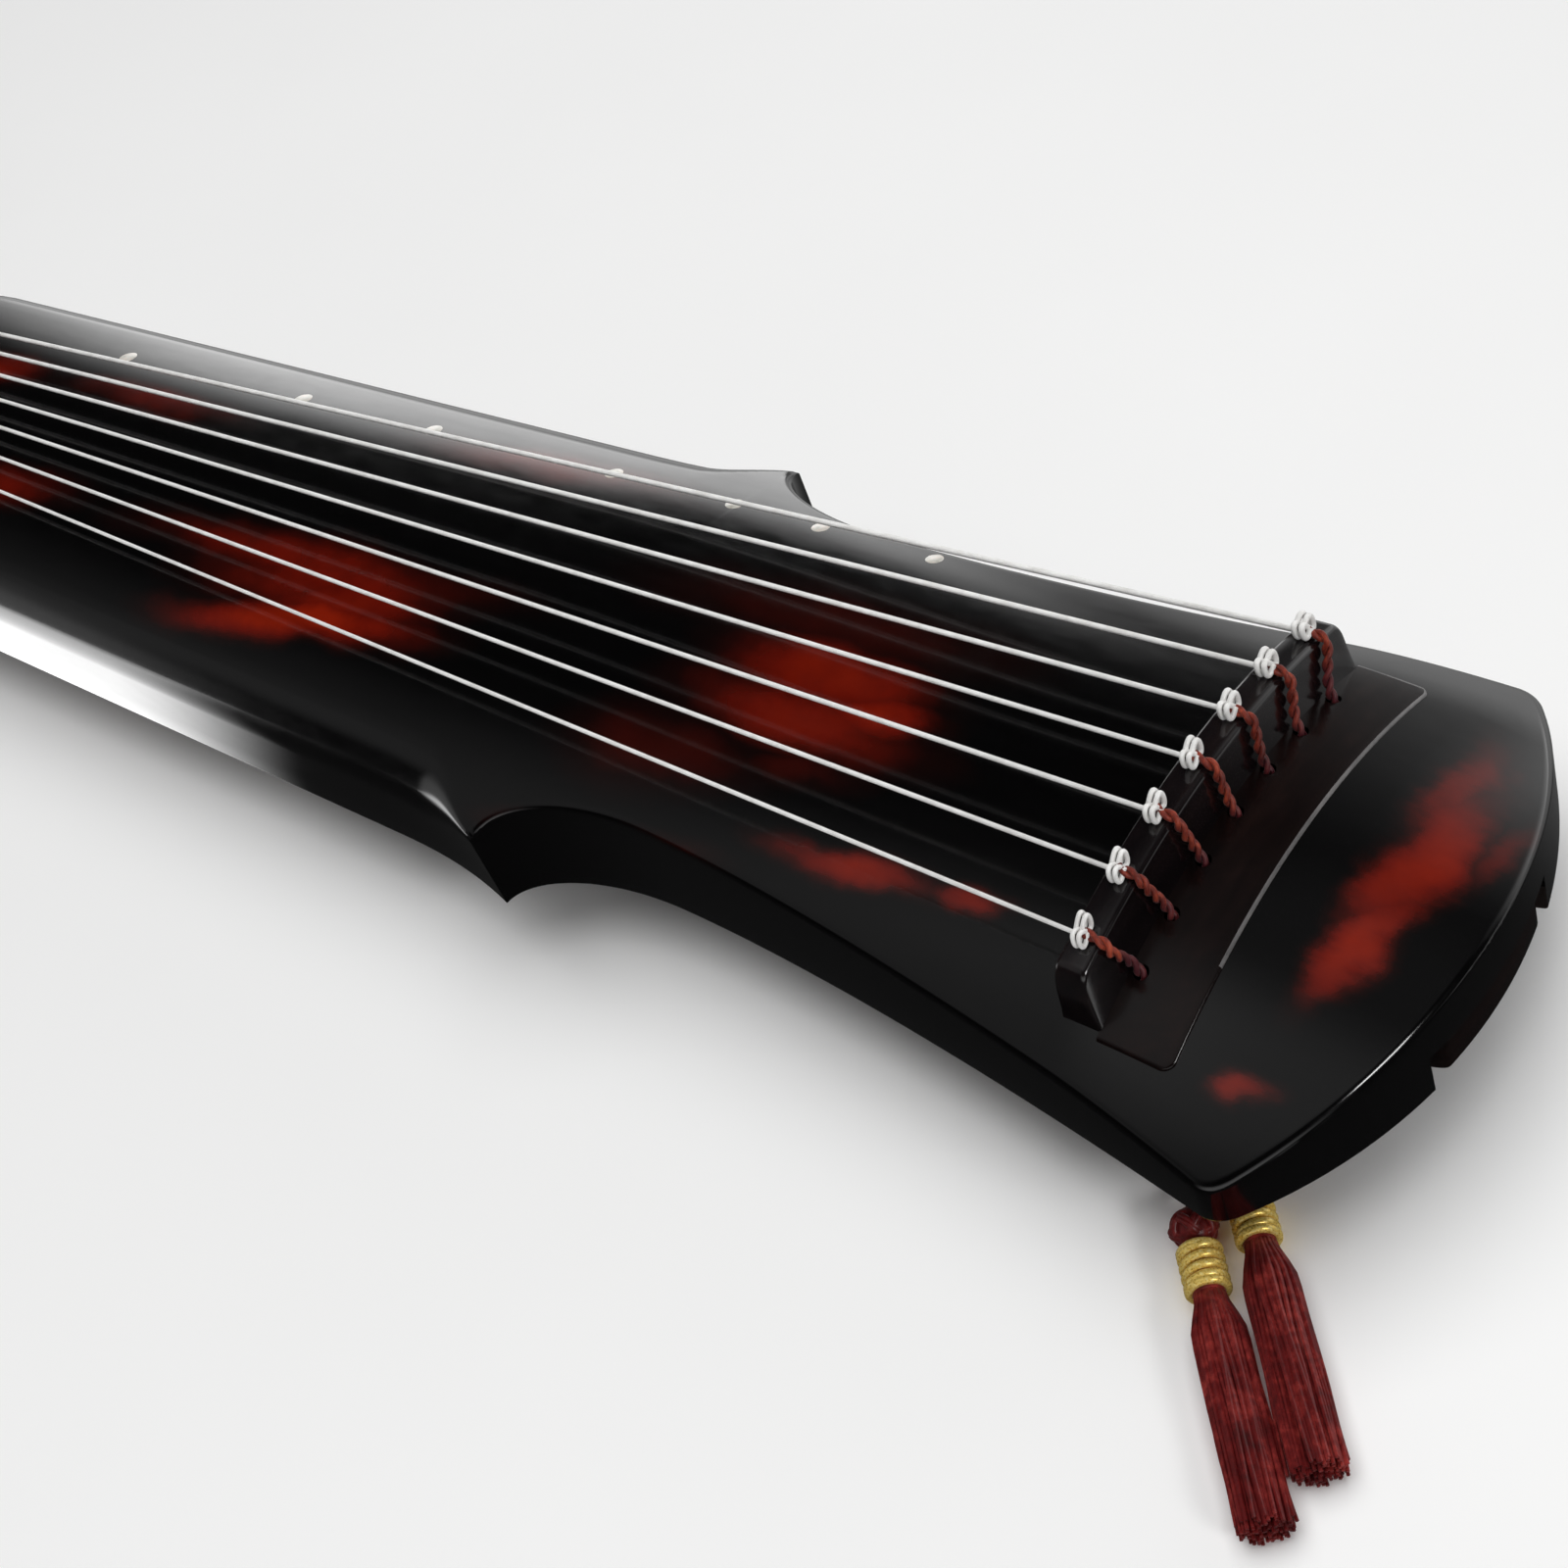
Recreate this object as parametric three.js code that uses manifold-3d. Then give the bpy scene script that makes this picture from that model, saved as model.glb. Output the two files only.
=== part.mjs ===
// A guqin, the seven-stringed long zither, built as two boards glued round a hollow.
// Millimetres. +X runs to the head, +Y to the far side with the studs, +Z is up.
// Inside the group X is counted from the line where the strings bear on the bridge.
// The group is then moved along X, so that the origin lies under the middle of the instrument,
// on the surface that it stands on.

import * as THREE from 'three';
import { mergeVertices } from 'three/addons/utils/BufferGeometryUtils.js';
import Module from 'manifold-3d';

const wasm = await Module();
wasm.setup();

// Gaps and cutters
const seat = 0.3;
const overrun = 4;
const tipInset = 0.05;
const leastWindingGap = 0.45;

// The body along its length
const stringCount = 7;
const stringLength = 1120;
const headReach = 89.5;
const tailReach = 12;
const shoulderBack = 222;
const neckBack = 165;
const waistTailGap = 262;
const waistLength = 180;

// The body across its width
const headHalf = 97;
const neckHalf = 70;
const shoulderHalf = 93;
const bodyHalf = 86;
const waistHalf = 77;
const waistDepth = 9;
const tailHalf = 69;
const headEndRadius = 149;
const headCornerBlend = 7;
const tailCornerRadius = 9;
const shoulderFlareLength = 62;
const neckFlarePower = 1.55;
const headSlopePower = 1.6;
const shoulderFlarePower = 2.4;

// The body's height
const footHeight = 36;
const bottomThick = 10;
const tipDepth = 32;
const bridgeDepth = 47.6;
const middleDepth = 53;
const tailDepth = 51;
const headArchDrop = 26;
const bodyArchDrop = 18;
const headEdgeRound = 2;
const bodyEdgeRound = 13;
const edgeChangeLength = 34;
const tailEndRound = 3;
const archChangeShare = 0.25;

// The hollow and its two pillars
const hollowHeadBack = 34;
const hollowTailGap = 70;
const sideWall = 13;
const topWall = 10;
const padHeight = 4;
const padHalf = 24;
const padMargin = 18;
const roundPillarPadGap = 42;
const roundPillarDiameter = 20;
const squarePillarPadGap = 105;
const squarePillarSide = 18;

// The sound holes in the bottom board
const longPoolFootGap = 171;
const longPoolLength = 220;
const shortPoolFootGap = 133;
const shortPoolLength = 112;
const poolWidth = 27;

// The bridge and the plate in front of it
const stringRise = 18.4;
const bridgeHalf = 72.5;
const bridgeArchDrop = 11.6;
const bridgeEndRound = 5;
const bridgeEndStep = 1.5;
const bridgeBack = 1.5;
const bridgeTopLength = 10;
const bridgeFootSpread = 2;
const bridgeEdgeRound = 1.5;
const inlayDepth = 3;
const plateHalf = 75;
const plateReach = 33;
const plateRise = 0.9;
const plateCorner = 4;

// The strings, their knots and the twisted loops that carry them
const bridgeSpacing = 20.17;
const nutSpacing = 6.2;
const stringDiameters = [1.9, 1.8, 1.7, 1.6, 1.6, 1.5, 1.4];
const knotStart = 1.4;
const knotHalfLength = 4.4;
const knotHalfHeight = 2.5;
const loopDiameter = 3.2;
const loopHoleDiameter = 4.6;
const loopSlantShare = 0.9;
const pegX = 13.4;
const pegSpacing = 18.1;
const loopEndDepth = 9;

// The tail: nut, lower gum and the two crown horns
const nutRise = 0.8;
const nutHalf = 27;
const nutLength = 16;
const nutDrop = 21;
const nutRound = 7;
const gumHalf = 25;
const gumHeight = 14;
const gumLength = 14;
const gumRound = 5;
const nutArchDrop = 0.4;
const hornReach = 50;
const hornHalf = 57;
const hornRise = 1;
const hornWaistShare = 0.5;

// The pegs, the plate over their pool and their two guards
const pegClearance = 8;
const pegPoolLength = 25;
const pegPoolHalf = 64.5;
const pegPoolFloor = 2;
const pegPlateThick = 4;
const pegHandleDiameter = 16.4;
const pegCollarDiameter = 14;
const pegWaistDiameter = 9.6;
const pegFootDiameter = 12.6;
const pegBoreDiameter = 4.6;
const pegBoreDepth = 20;
const pegTailBoreDiameter = 3.1;
const pegFlute = 0.9;
const pegPoolCorner = 4;
const pegShares = {
  collar: 0.1, waistTop: 0.2, waistFoot: 0.34, handleTop: 0.44, handleMiddle: 0.68, foot: 0.96,
};
const guardLength = 25;
const guardThick = 8;
const guardToeInset = 3;
const guardTenonInset = 4;
const guardGap = 1.5;

// The goose feet
const footTailGap = 421;
const footHalfSpread = 46;
const footShankDiameter = 17;
const footSoleDiameter = 25;
const footSoleHeight = 6;
const footCollarDiameter = 22;
const footCollarHeight = 2.2;
const footTenonDiameter = 14;
const farFootStrings = 4;
const footTurns = 2.5;

// The studs along the far side
const studOffset = 10.1;
const studDiameter = 6;
const studGrowth = 2.4;
const studThick = 1.6;
const studRise = 0.15;
const studShares = [1 / 8, 1 / 6, 1 / 5, 1 / 4, 1 / 3, 2 / 5, 1 / 2];

// The tongue in the end of the head
const tongueHalf = 34;
const tongueRecess = 11;
const tongueRoof = 15;
const tongueThick = 13;
const tongueHeight = 0.8;
const tongueSetback = 0.8;
const tongueEndGap = 1.2;
const tongueFlatShare = 0.8;

// The tassels, which lie on the standing surface
const tasselCordDiameter = 2.4;
const tasselCordEntry = 4;
const tasselKnotDiameter = 14;
const tasselNeckDiameter = 14;
const tasselSkirtDiameter = 16;
const tasselKnotLength = 14;
const tasselNeckLength = 15;
const tasselSkirtLength = 73;
const floorGap = 0.25;
const knotRadiusShares = [0.7, 1, 0.8];
const knotLengthShares = [0.12, 0.5, 0.9];
const neckBindShare = 0.1;
const neckFootShare = 0.92;
const skirtSwellShare = 0.15;
const cordDropShares = [0.12, 0.5];
const cordHangShare = 0.55;

// Counts of facets
const roundSides = 14;
const pegSides = 12;
const studSides = 10;
const smallSides = 8;
const stringSides = 5;
const loopSides = 6;
const knotSteps = 18;
const turnSteps = 11;

// Derived places
const tailX = -(stringLength + tailReach);
const shoulderX = -shoulderBack;
const neckX = -neckBack;
const waistEndX = tailX + waistTailGap;
const waistStartX = waistEndX + waistLength;
const footX = tailX + footTailGap;
const longPoolX = footX + longPoolFootGap + longPoolLength / 2;
const shortPoolX = footX - shortPoolFootGap - shortPoolLength / 2;
const longPadHalf = longPoolLength / 2 + padMargin;
const roundPillarX = longPoolX + longPadHalf + roundPillarPadGap + roundPillarDiameter / 2;
const squarePillarX = longPoolX - longPadHalf - squarePillarPadGap - squarePillarSide / 2;
const boardTopZ = footHeight + bottomThick;
const pegPoolRoofZ = boardTopZ - seat - pegPoolFloor;
const pegTopZ = pegPoolRoofZ - seat;
const headArcX = headReach - headEndRadius;
const middleString = (stringCount - 1) / 2;
const thickestString = Math.max(...stringDiameters);
const archChangeX = -stringLength * archChangeShare;
const bearingZ = faceZ(0, 0) + stringRise;
const bridgeFrontX = bridgeTopLength - bridgeBack;
const bridgeFootX = bridgeFrontX + bridgeFootSpread;
const nutBearingZ = faceZ(-stringLength, 0) + nutRise;

const materials = {
  lacquer: material(0x17110f, 0.2, 0),
  underside: material(0x120e0d, 0.3, 0),
  ebony: material(0x2a1512, 0.25, 0),
  pegWood: material(0x32170f, 0.3, 0),
  innerWood: material(0xa97c4f, 0.8, 0),
  shell: material(0xe6e2d6, 0.25, 0),
  string: material(0xf2f0ec, 0.45, 0),
  silkLoop: material(0x9c3320, 0.75, 0),
  tassel: material(0x6e1410, 0.8, 0),
};

const guqin = new THREE.Group();
guqin.position.x = -(headReach + tailX - thickestString - seat) / 2;

// Small helpers for materials and solids

function material(color, roughness, metalness) {
  return new THREE.MeshStandardMaterial({ color, roughness, metalness, flatShading: true });
}

function add(name, shape, look) {
  const geometry = shape instanceof THREE.BufferGeometry ? shape : geometryOf(shape);
  const mesh = new THREE.Mesh(geometry, look);
  mesh.name = name;
  guqin.add(mesh);
  return mesh;
}

function solidOf(geometry) {
  const bare = new THREE.BufferGeometry();
  bare.setAttribute('position', geometry.getAttribute('position').clone());
  bare.setIndex(geometry.getIndex());
  const merged = mergeVertices(bare);
  return new wasm.Manifold(new wasm.Mesh({
    numProp: 3,
    vertProperties: new Float32Array(merged.getAttribute('position').array),
    triVerts: new Uint32Array(merged.getIndex().array),
  }));
}

function geometryOf(solid) {
  const { vertProperties, triVerts } = solid.getMesh();
  const geometry = new THREE.BufferGeometry();
  geometry.setAttribute('position', new THREE.BufferAttribute(new Float32Array(vertProperties), 3));
  geometry.setIndex(new THREE.BufferAttribute(new Uint32Array(triVerts), 1));
  geometry.computeVertexNormals();
  return geometry;
}

function box(x0, x1, y0, y1, z0, z1) {
  const geometry = new THREE.BoxGeometry(x1 - x0, y1 - y0, z1 - z0);
  geometry.translate((x0 + x1) / 2, (y0 + y1) / 2, (z0 + z1) / 2);
  return geometry;
}

// An upright cylinder from z0 to z1.
function post(radius, x, y, z0, z1, sides) {
  const geometry = new THREE.CylinderGeometry(radius, radius, z1 - z0, sides);
  geometry.rotateX(Math.PI / 2);
  geometry.translate(x, y, (z0 + z1) / 2);
  return geometry;
}

// A flat outline drawn in X and Y, raised from z0 to z1.
function raise(shape, z0, z1, curveSegments = 10) {
  const geometry = new THREE.ExtrudeGeometry(shape, { depth: z1 - z0, bevelEnabled: false, curveSegments });
  geometry.translate(0, 0, z0);
  return geometry;
}

// A rectangle with round corners, as an outline or as a hole in one.
function roundedRectangle(path, x0, x1, y0, y1, radius) {
  const quarter = Math.PI / 2;
  path.moveTo(x0 + radius, y0);
  path.absarc(x1 - radius, y0 + radius, radius, -quarter, 0, false);
  path.absarc(x1 - radius, y1 - radius, radius, 0, quarter, false);
  path.absarc(x0 + radius, y1 - radius, radius, quarter, 2 * quarter, false);
  path.absarc(x0 + radius, y0 + radius, radius, 2 * quarter, 3 * quarter, false);
  return path;
}

// A closed solid through a row of rings with as many points each.
// flat() gives the two coordinates of a point in which a ring lies flat.
function loft(rings, flat) {
  const count = rings[0].length;
  const positions = rings.flat().flatMap((point) => point.toArray());
  const index = [];
  for (let k = 0; k < rings.length - 1; k += 1) {
    for (let i = 0; i < count; i += 1) {
      const a = k * count + i;
      const b = k * count + ((i + 1) % count);
      index.push(a, b, a + count, b, b + count, a + count);
    }
  }
  const last = (rings.length - 1) * count;
  index.push(...capFaces(rings[0].map(flat)).flatMap(([a, b, c]) => [a, c, b]));
  index.push(...capFaces(rings.at(-1).map(flat)).flatMap(([a, b, c]) => [a + last, b + last, c + last]));
  const geometry = new THREE.BufferGeometry();
  geometry.setAttribute('position', new THREE.Float32BufferAttribute(positions, 3));
  geometry.setIndex(index);
  if (signedVolume(geometry) < 0) {
    turnInsideOut(index);
    geometry.setIndex(index);
  }
  geometry.computeVertexNormals();
  return geometry;
}

// Faces over a flat ring, all turning the way that the ring turns.
function capFaces(contour) {
  const turn = Math.sign(THREE.ShapeUtils.area(contour));
  return THREE.ShapeUtils.triangulateShape(contour, []).map(([a, b, c]) => {
    const faceTurn = Math.sign(THREE.ShapeUtils.area([contour[a], contour[b], contour[c]]));
    return faceTurn === turn ? [a, b, c] : [a, c, b];
  });
}

function signedVolume(geometry) {
  const position = geometry.getAttribute('position');
  const index = geometry.getIndex();
  const corners = [new THREE.Vector3(), new THREE.Vector3(), new THREE.Vector3()];
  let volume = 0;
  for (let i = 0; i < index.count; i += 3) {
    corners.forEach((corner, j) => corner.fromBufferAttribute(position, index.getX(i + j)));
    volume += corners[0].dot(corners[1].cross(corners[2])) / 6;
  }
  return volume;
}

function turnInsideOut(index) {
  for (let i = 0; i < index.length; i += 3) {
    [index[i + 1], index[i + 2]] = [index[i + 2], index[i + 1]];
  }
}

const acrossX = (point) => new THREE.Vector2(point.y, point.z);
const acrossY = (point) => new THREE.Vector2(point.x, point.z);

function spread(from, to, count) {
  return Array.from({ length: count + 1 }, (_, i) => from + (to - from) * i / count);
}

// One unbroken round tube along points, with a frame carried along without twist.
function sweep(points, radius, sides) {
  const tangents = points.map((point, i) => {
    const before = points[Math.max(i - 1, 0)];
    const after = points[Math.min(i + 1, points.length - 1)];
    return after.clone().sub(before).normalize();
  });
  const side = new THREE.Vector3(0, 1, 0);
  const rings = points.map((point, i) => {
    side.addScaledVector(tangents[i], -side.dot(tangents[i])).normalize();
    const up = tangents[i].clone().cross(side);
    return spread(0, 2 * Math.PI, sides).slice(0, sides).map((angle) => point.clone()
      .addScaledVector(side, radius * Math.cos(angle))
      .addScaledVector(up, radius * Math.sin(angle)));
  });
  return loft(rings, flatten(tangents[0], tangents.at(-1), points[0]));
}

// The caps of a swept tube lie square to its ends, so each is flattened along its own tangent.
function flatten(firstTangent, lastTangent, firstPoint) {
  return (point) => {
    const atStart = point.distanceTo(firstPoint) < thickestString * 2;
    const normal = atStart ? firstTangent : lastTangent;
    const upright = Math.abs(normal.z) > Math.SQRT1_2;
    const helper = upright ? new THREE.Vector3(1, 0, 0) : new THREE.Vector3(0, 0, 1);
    const u = helper.clone().cross(normal).normalize();
    const v = normal.clone().cross(u);
    return new THREE.Vector2(point.dot(u), point.dot(v));
  };
}

// The outline of the body: half of its width at a place along it

function flareHalf(x) {
  const share = (x - neckX) / (headReach - neckX);
  const reach = headHalf + (headHalf - neckHalf) * cornerShare();
  return neckHalf + (reach - neckHalf) * share ** neckFlarePower;
}

// How much further the flaring sides would spread between the head's corners and its tip.
function cornerShare() {
  const cornerX = headArcX + Math.sqrt(headEndRadius ** 2 - headHalf ** 2);
  const share = (cornerX - neckX) / (headReach - neckX);
  return 1 / share ** neckFlarePower - 1;
}

function headEndHalf(x) {
  return Math.sqrt(Math.max(headEndRadius ** 2 - (x - headArcX) ** 2, 0));
}

// The smaller of two values, blended where they meet so that the corner is round.
function blendedLesser(a, b, width) {
  const near = Math.max(width - Math.abs(a - b), 0) / width;
  return Math.min(a, b) - near * near * width / 4;
}

function shoulderSideHalf(x) {
  const share = (x - waistStartX) / (shoulderX - waistStartX);
  const taper = waistHalf + (bodyHalf - waistHalf) * share;
  const flare = Math.max((x - shoulderX) / shoulderFlareLength + 1, 0);
  return taper + (shoulderHalf - bodyHalf) * flare ** shoulderFlarePower;
}

function tailSideHalf(x) {
  const share = (x - tailX) / (waistStartX - tailX);
  const taper = tailHalf + (waistHalf - tailHalf) * share;
  return taper - roundOff(x - tailX, tailCornerRadius);
}

function halfWidth(x) {
  if (x >= neckX) {
    return blendedLesser(flareHalf(x), headEndHalf(x), headCornerBlend);
  }
  if (x > shoulderX) {
    const share = (neckX - x) / (neckX - shoulderX);
    return neckHalf + (shoulderHalf - neckHalf) * (1 - Math.sqrt(1 - share * share));
  }
  if (x >= waistStartX) {
    return shoulderSideHalf(x);
  }
  const along = (waistStartX - x) / waistLength;
  const cut = along < 1 ? Math.sqrt(1 - (2 * along - 1) ** 2) : 0;
  return tailSideHalf(x) - waistDepth * cut;
}

// How far a round edge has fallen away at a distance in from it.
function roundOff(distance, radius) {
  const inside = radius - Math.min(Math.max(distance, 0), radius);
  return radius - Math.sqrt(radius * radius - inside * inside);
}

// The height of the face: its crown along the instrument and its arch across it

function crownDepth(x) {
  if (x > 0) {
    return bridgeDepth + (tipDepth - bridgeDepth) * (x / headReach) ** headSlopePower;
  }
  if (x > archChangeX) {
    return bridgeDepth + (middleDepth - bridgeDepth) * THREE.MathUtils.smoothstep(-x, 0, -archChangeX);
  }
  const share = (archChangeX - x) / (archChangeX - tailX);
  return middleDepth + (tailDepth - middleDepth) * share * share;
}

function archDropAt(x, y) {
  const headShare = THREE.MathUtils.smoothstep(x, archChangeX, 0);
  const body = bodyArchDrop * (y / shoulderHalf) ** 2;
  const head = headArchDrop * (y / headHalf) ** 2;
  return body + (head - body) * headShare;
}

function faceZ(x, y) {
  return footHeight + crownDepth(x) - archDropAt(x, y);
}

function edgeRoundAt(x) {
  const share = THREE.MathUtils.smoothstep(-x, shoulderBack, shoulderBack + edgeChangeLength);
  return headEdgeRound + (bodyEdgeRound - headEdgeRound) * share;
}

// Stations along the body, closer where the outline turns quickly
function bodyStations() {
  const quarter = Math.PI / 2;
  const tailCorner = spread(0, quarter, 3).map((a) => tailX + tailCornerRadius * (1 - Math.cos(a)));
  const tail = spread(tailX + 3 * tailCornerRadius, waistEndX - tailCornerRadius, 4);
  const waistMiddle = (waistStartX + waistEndX) / 2;
  const waist = spread(-quarter, quarter, 10).map((a) => waistMiddle + waistLength / 2 * Math.sin(a));
  const body = spread(waistStartX + tailCornerRadius, shoulderX - shoulderFlareLength, 8);
  const shoulder = spread(shoulderX - shoulderFlareLength, shoulderX, 5).slice(1);
  const neck = spread(quarter, 0, 8).slice(1).map((a) => neckX - (neckX - shoulderX) * Math.sin(a));
  const cornerAngle = Math.asin(headHalf / headEndRadius);
  const cornerX = headArcX + headEndRadius * Math.cos(cornerAngle);
  const head = spread(neckX, cornerX - headCornerBlend, 10).slice(1);
  const end = spread(cornerAngle, 0, 12).slice(0, 12).map((a) => headArcX + headEndRadius * Math.cos(a));
  return [...tailCorner, ...tail, ...waist, ...body, ...shoulder, ...neck, ...head, ...end, tipX()];
}

// The head's loft stops just short of its tip, where it would shrink to a line.
function tipX() {
  return headReach - tipInset;
}

const stations = bodyStations();
const roundShares = [0, 0.12, 0.45, 1];
const archShares = [0.76, 0.5, 0.25];

// One cross-section of the outside of the top board, from the near edge over to the far one.
function topBoardRing(x) {
  const half = Math.max(halfWidth(x), seat);
  const round = Math.min(edgeRoundAt(x), half / 2);
  const endDrop = roundOff(x - tailX, tailEndRound);
  const edge = roundShares.map((share) => [half - round * share, roundOff(round * share, round)]);
  const arch = archShares.map((share) => [(half - round) * share, 0]);
  const oneSide = [...edge, ...arch];
  const farSide = oneSide.map(([y, drop]) => new THREE.Vector3(x, y, faceZ(x, y) - drop - endDrop));
  const nearSide = oneSide.map(([y, drop]) => new THREE.Vector3(x, -y, faceZ(x, y) - drop - endDrop));
  const crown = new THREE.Vector3(x, 0, faceZ(x, 0) - endDrop);
  const farFoot = new THREE.Vector3(x, half, boardTopZ);
  const nearFoot = new THREE.Vector3(x, -half, boardTopZ);
  return [nearFoot, ...nearSide, crown, ...farSide.reverse(), farFoot];
}

// A slab that follows the face, from one height above it to another.
function faceSlab(x0, x1, y0, y1, below, above, steps = 2, cuts = 10) {
  const rings = spread(x0, x1, steps).map((x) => {
    const ys = spread(y0, y1, cuts);
    const top = ys.map((y) => new THREE.Vector3(x, y, faceZ(x, y) + above));
    const foot = ys.map((y) => new THREE.Vector3(x, y, faceZ(x, y) - below));
    return [...top, ...foot.reverse()];
  });
  return loft(rings, acrossX);
}

// The hollow, with a raised pad left standing over each sound hole
function hollow() {
  const xs = spread(tailX + hollowTailGap, -hollowHeadBack, 26);
  const rings = xs.map((x) => {
    const half = hollowHalf(x);
    const ys = spread(-half, half, 6);
    const top = ys.map((y) => new THREE.Vector3(x, y, ceilingZ(x, y)));
    const nearFoot = new THREE.Vector3(x, -half, boardTopZ - overrun);
    const farFoot = new THREE.Vector3(x, half, boardTopZ - overrun);
    return [nearFoot, ...top, farFoot];
  });
  let space = solidOf(loft(rings, acrossX));
  for (const [middle, length] of [[longPoolX, longPoolLength], [shortPoolX, shortPoolLength]]) {
    space = space.subtract(solidOf(soundPad(middle, length / 2 + padMargin)));
  }
  return space;
}

// The hollow keeps a full wall in the neck and the waist too, by taking the least width close by.
function hollowHalf(x) {
  const nearby = spread(x - sideWall, x + sideWall, 6).map(halfWidth);
  return Math.min(...nearby) - sideWall;
}

function ceilingZ(x, y) {
  return faceZ(x, y) - topWall;
}

function soundPad(middleX, halfLength) {
  const rings = spread(middleX - halfLength, middleX + halfLength, 6).map((x) => {
    const ys = spread(-padHalf, padHalf, 4);
    const foot = ys.map((y) => new THREE.Vector3(x, y, ceilingZ(x, y) - padHeight));
    const top = ys.map((y) => new THREE.Vector3(x, y, ceilingZ(x, y) + overrun));
    return [...foot, ...top.reverse()];
  });
  return loft(rings, acrossX);
}

// Places of the strings
function bridgeY(i) {
  return (middleString - i) * bridgeSpacing;
}

function nutY(i) {
  return (middleString - i) * nutSpacing;
}

function pegY(i) {
  return (middleString - i) * pegSpacing;
}

function bridgeTopZ(y) {
  return bearingZ - bridgeArchDrop * (y / bridgeHalf) ** 2 - thickestString / 2 - seat;
}

function nutTopZ(y) {
  return nutBearingZ - nutArchDrop * (y / nutHalf) ** 2;
}

// The studs divide the string at these shares of its length, the same from both ends
function studPlaces() {
  const shares = [...studShares, ...studShares.slice(0, -1).reverse().map((share) => 1 - share)];
  return shares.map((share) => {
    const x = -stringLength * share;
    const y = bridgeY(0) + (nutY(0) - bridgeY(0)) * share + studOffset;
    const fromMiddle = Math.abs(share - studShares.at(-1)) / studShares.at(-1);
    const diameter = studDiameter + studGrowth * (1 - fromMiddle);
    const tilt = -Math.atan2(faceZ(x, y) - faceZ(x, y + diameter), diameter);
    return { x, y, z: faceZ(x, y), diameter, tilt };
  });
}

function studDisc(place, extra) {
  const height = studThick + 2 * extra;
  const radius = place.diameter / 2 + extra;
  const geometry = new THREE.CylinderGeometry(radius, radius, height, studSides);
  geometry.rotateX(Math.PI / 2);
  geometry.translate(0, 0, studRise - studThick / 2);
  return geometry;
}

function addStuds() {
  studPlaces().forEach((place, i) => {
    const stud = add(`stud_${i + 1}`, studDisc(place, 0), materials.shell);
    stud.position.set(place.x, place.y, place.z);
    stud.rotation.x = place.tilt;
  });
}

function studPocket(place) {
  const geometry = studDisc(place, seat);
  geometry.rotateX(place.tilt);
  geometry.translate(place.x, place.y, place.z);
  return solidOf(geometry);
}

// The plate before the bridge, with a hole for every loop
function headPlate(extra) {
  const outline = roundedRectangle(
    new THREE.Shape(),
    bridgeFootX - plateCorner - extra,
    plateReach + extra,
    -plateHalf - extra,
    plateHalf + extra,
    plateCorner,
  );
  const slab = faceSlab(
    bridgeFootX + seat - extra,
    plateReach + overrun,
    -plateHalf - overrun,
    plateHalf + overrun,
    inlayDepth + extra,
    extra > 0 ? overrun : plateRise,
  );
  return solidOf(slab).intersect(solidOf(raise(outline, footHeight, bearingZ, 4)));
}

function loopHole(i, from, to) {
  return solidOf(post(loopHoleDiameter / 2, pegX, pegY(i), from, to, smallSides));
}

function addHeadPlate() {
  let plate = headPlate(0);
  for (let i = 0; i < stringCount; i += 1) {
    plate = plate.subtract(loopHole(i, footHeight, bearingZ));
  }
  add('head_plate', plate, materials.ebony);
}

// The bridge: a tall strip, arched across and rounded down at both ends
function addBridge() {
  const quarter = Math.PI / 2;
  const endYs = spread(0, quarter, 4).map((a) => bridgeHalf - bridgeEndRound * (1 - Math.sin(a)));
  const middleYs = spread(-bridgeHalf + bridgeEndRound, bridgeHalf - bridgeEndRound, 8);
  const ys = [...endYs.map((y) => -y).reverse(), ...middleYs.slice(1, -1), ...endYs];
  const rings = ys.map((y) => {
    const inEnd = Math.max(Math.abs(y) - (bridgeHalf - bridgeEndRound), 0) / bridgeEndRound;
    const low = faceZ(0, y) + bridgeEndStep;
    const top = low + (bridgeTopZ(y) - low) * Math.cbrt(1 - inEnd ** 3);
    return [
      [-bridgeBack - bridgeFootSpread / 2, faceZ(0, y) - inlayDepth],
      [-bridgeBack, top - bridgeEdgeRound / 2],
      [-bridgeBack + bridgeEdgeRound / 2, top],
      [bridgeFrontX - bridgeEdgeRound, top],
      [bridgeFrontX - bridgeEdgeRound * (1 - Math.SQRT1_2), top - bridgeEdgeRound * (1 - Math.SQRT1_2)],
      [bridgeFrontX, top - bridgeEdgeRound],
      [bridgeFootX, faceZ(0, y) - inlayDepth],
    ].map(([x, z]) => new THREE.Vector3(x, y, z));
  });
  add('bridge', loft(rings.reverse(), acrossY), materials.ebony);
}

function bridgeGroove() {
  return solidOf(faceSlab(
    -bridgeBack - bridgeFootSpread / 2 - seat,
    bridgeFootX + seat,
    -bridgeHalf - seat,
    bridgeHalf + seat,
    inlayDepth + 2 * seat,
    overrun,
  ));
}

// A ring sector in the head's end, for the recess and for the tongue that stands in it
function tongueRecessCut(z0, z1) {
  const inner = headEndRadius - tongueRecess;
  const outer = headEndRadius + overrun;
  const angle = Math.asin(tongueHalf / headEndRadius);
  const shape = new THREE.Shape();
  shape.absarc(headArcX, 0, inner, -angle, angle, false);
  shape.absarc(headArcX, 0, outer, angle, -angle, true);
  return solidOf(raise(shape, z0, z1, 10));
}

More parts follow.
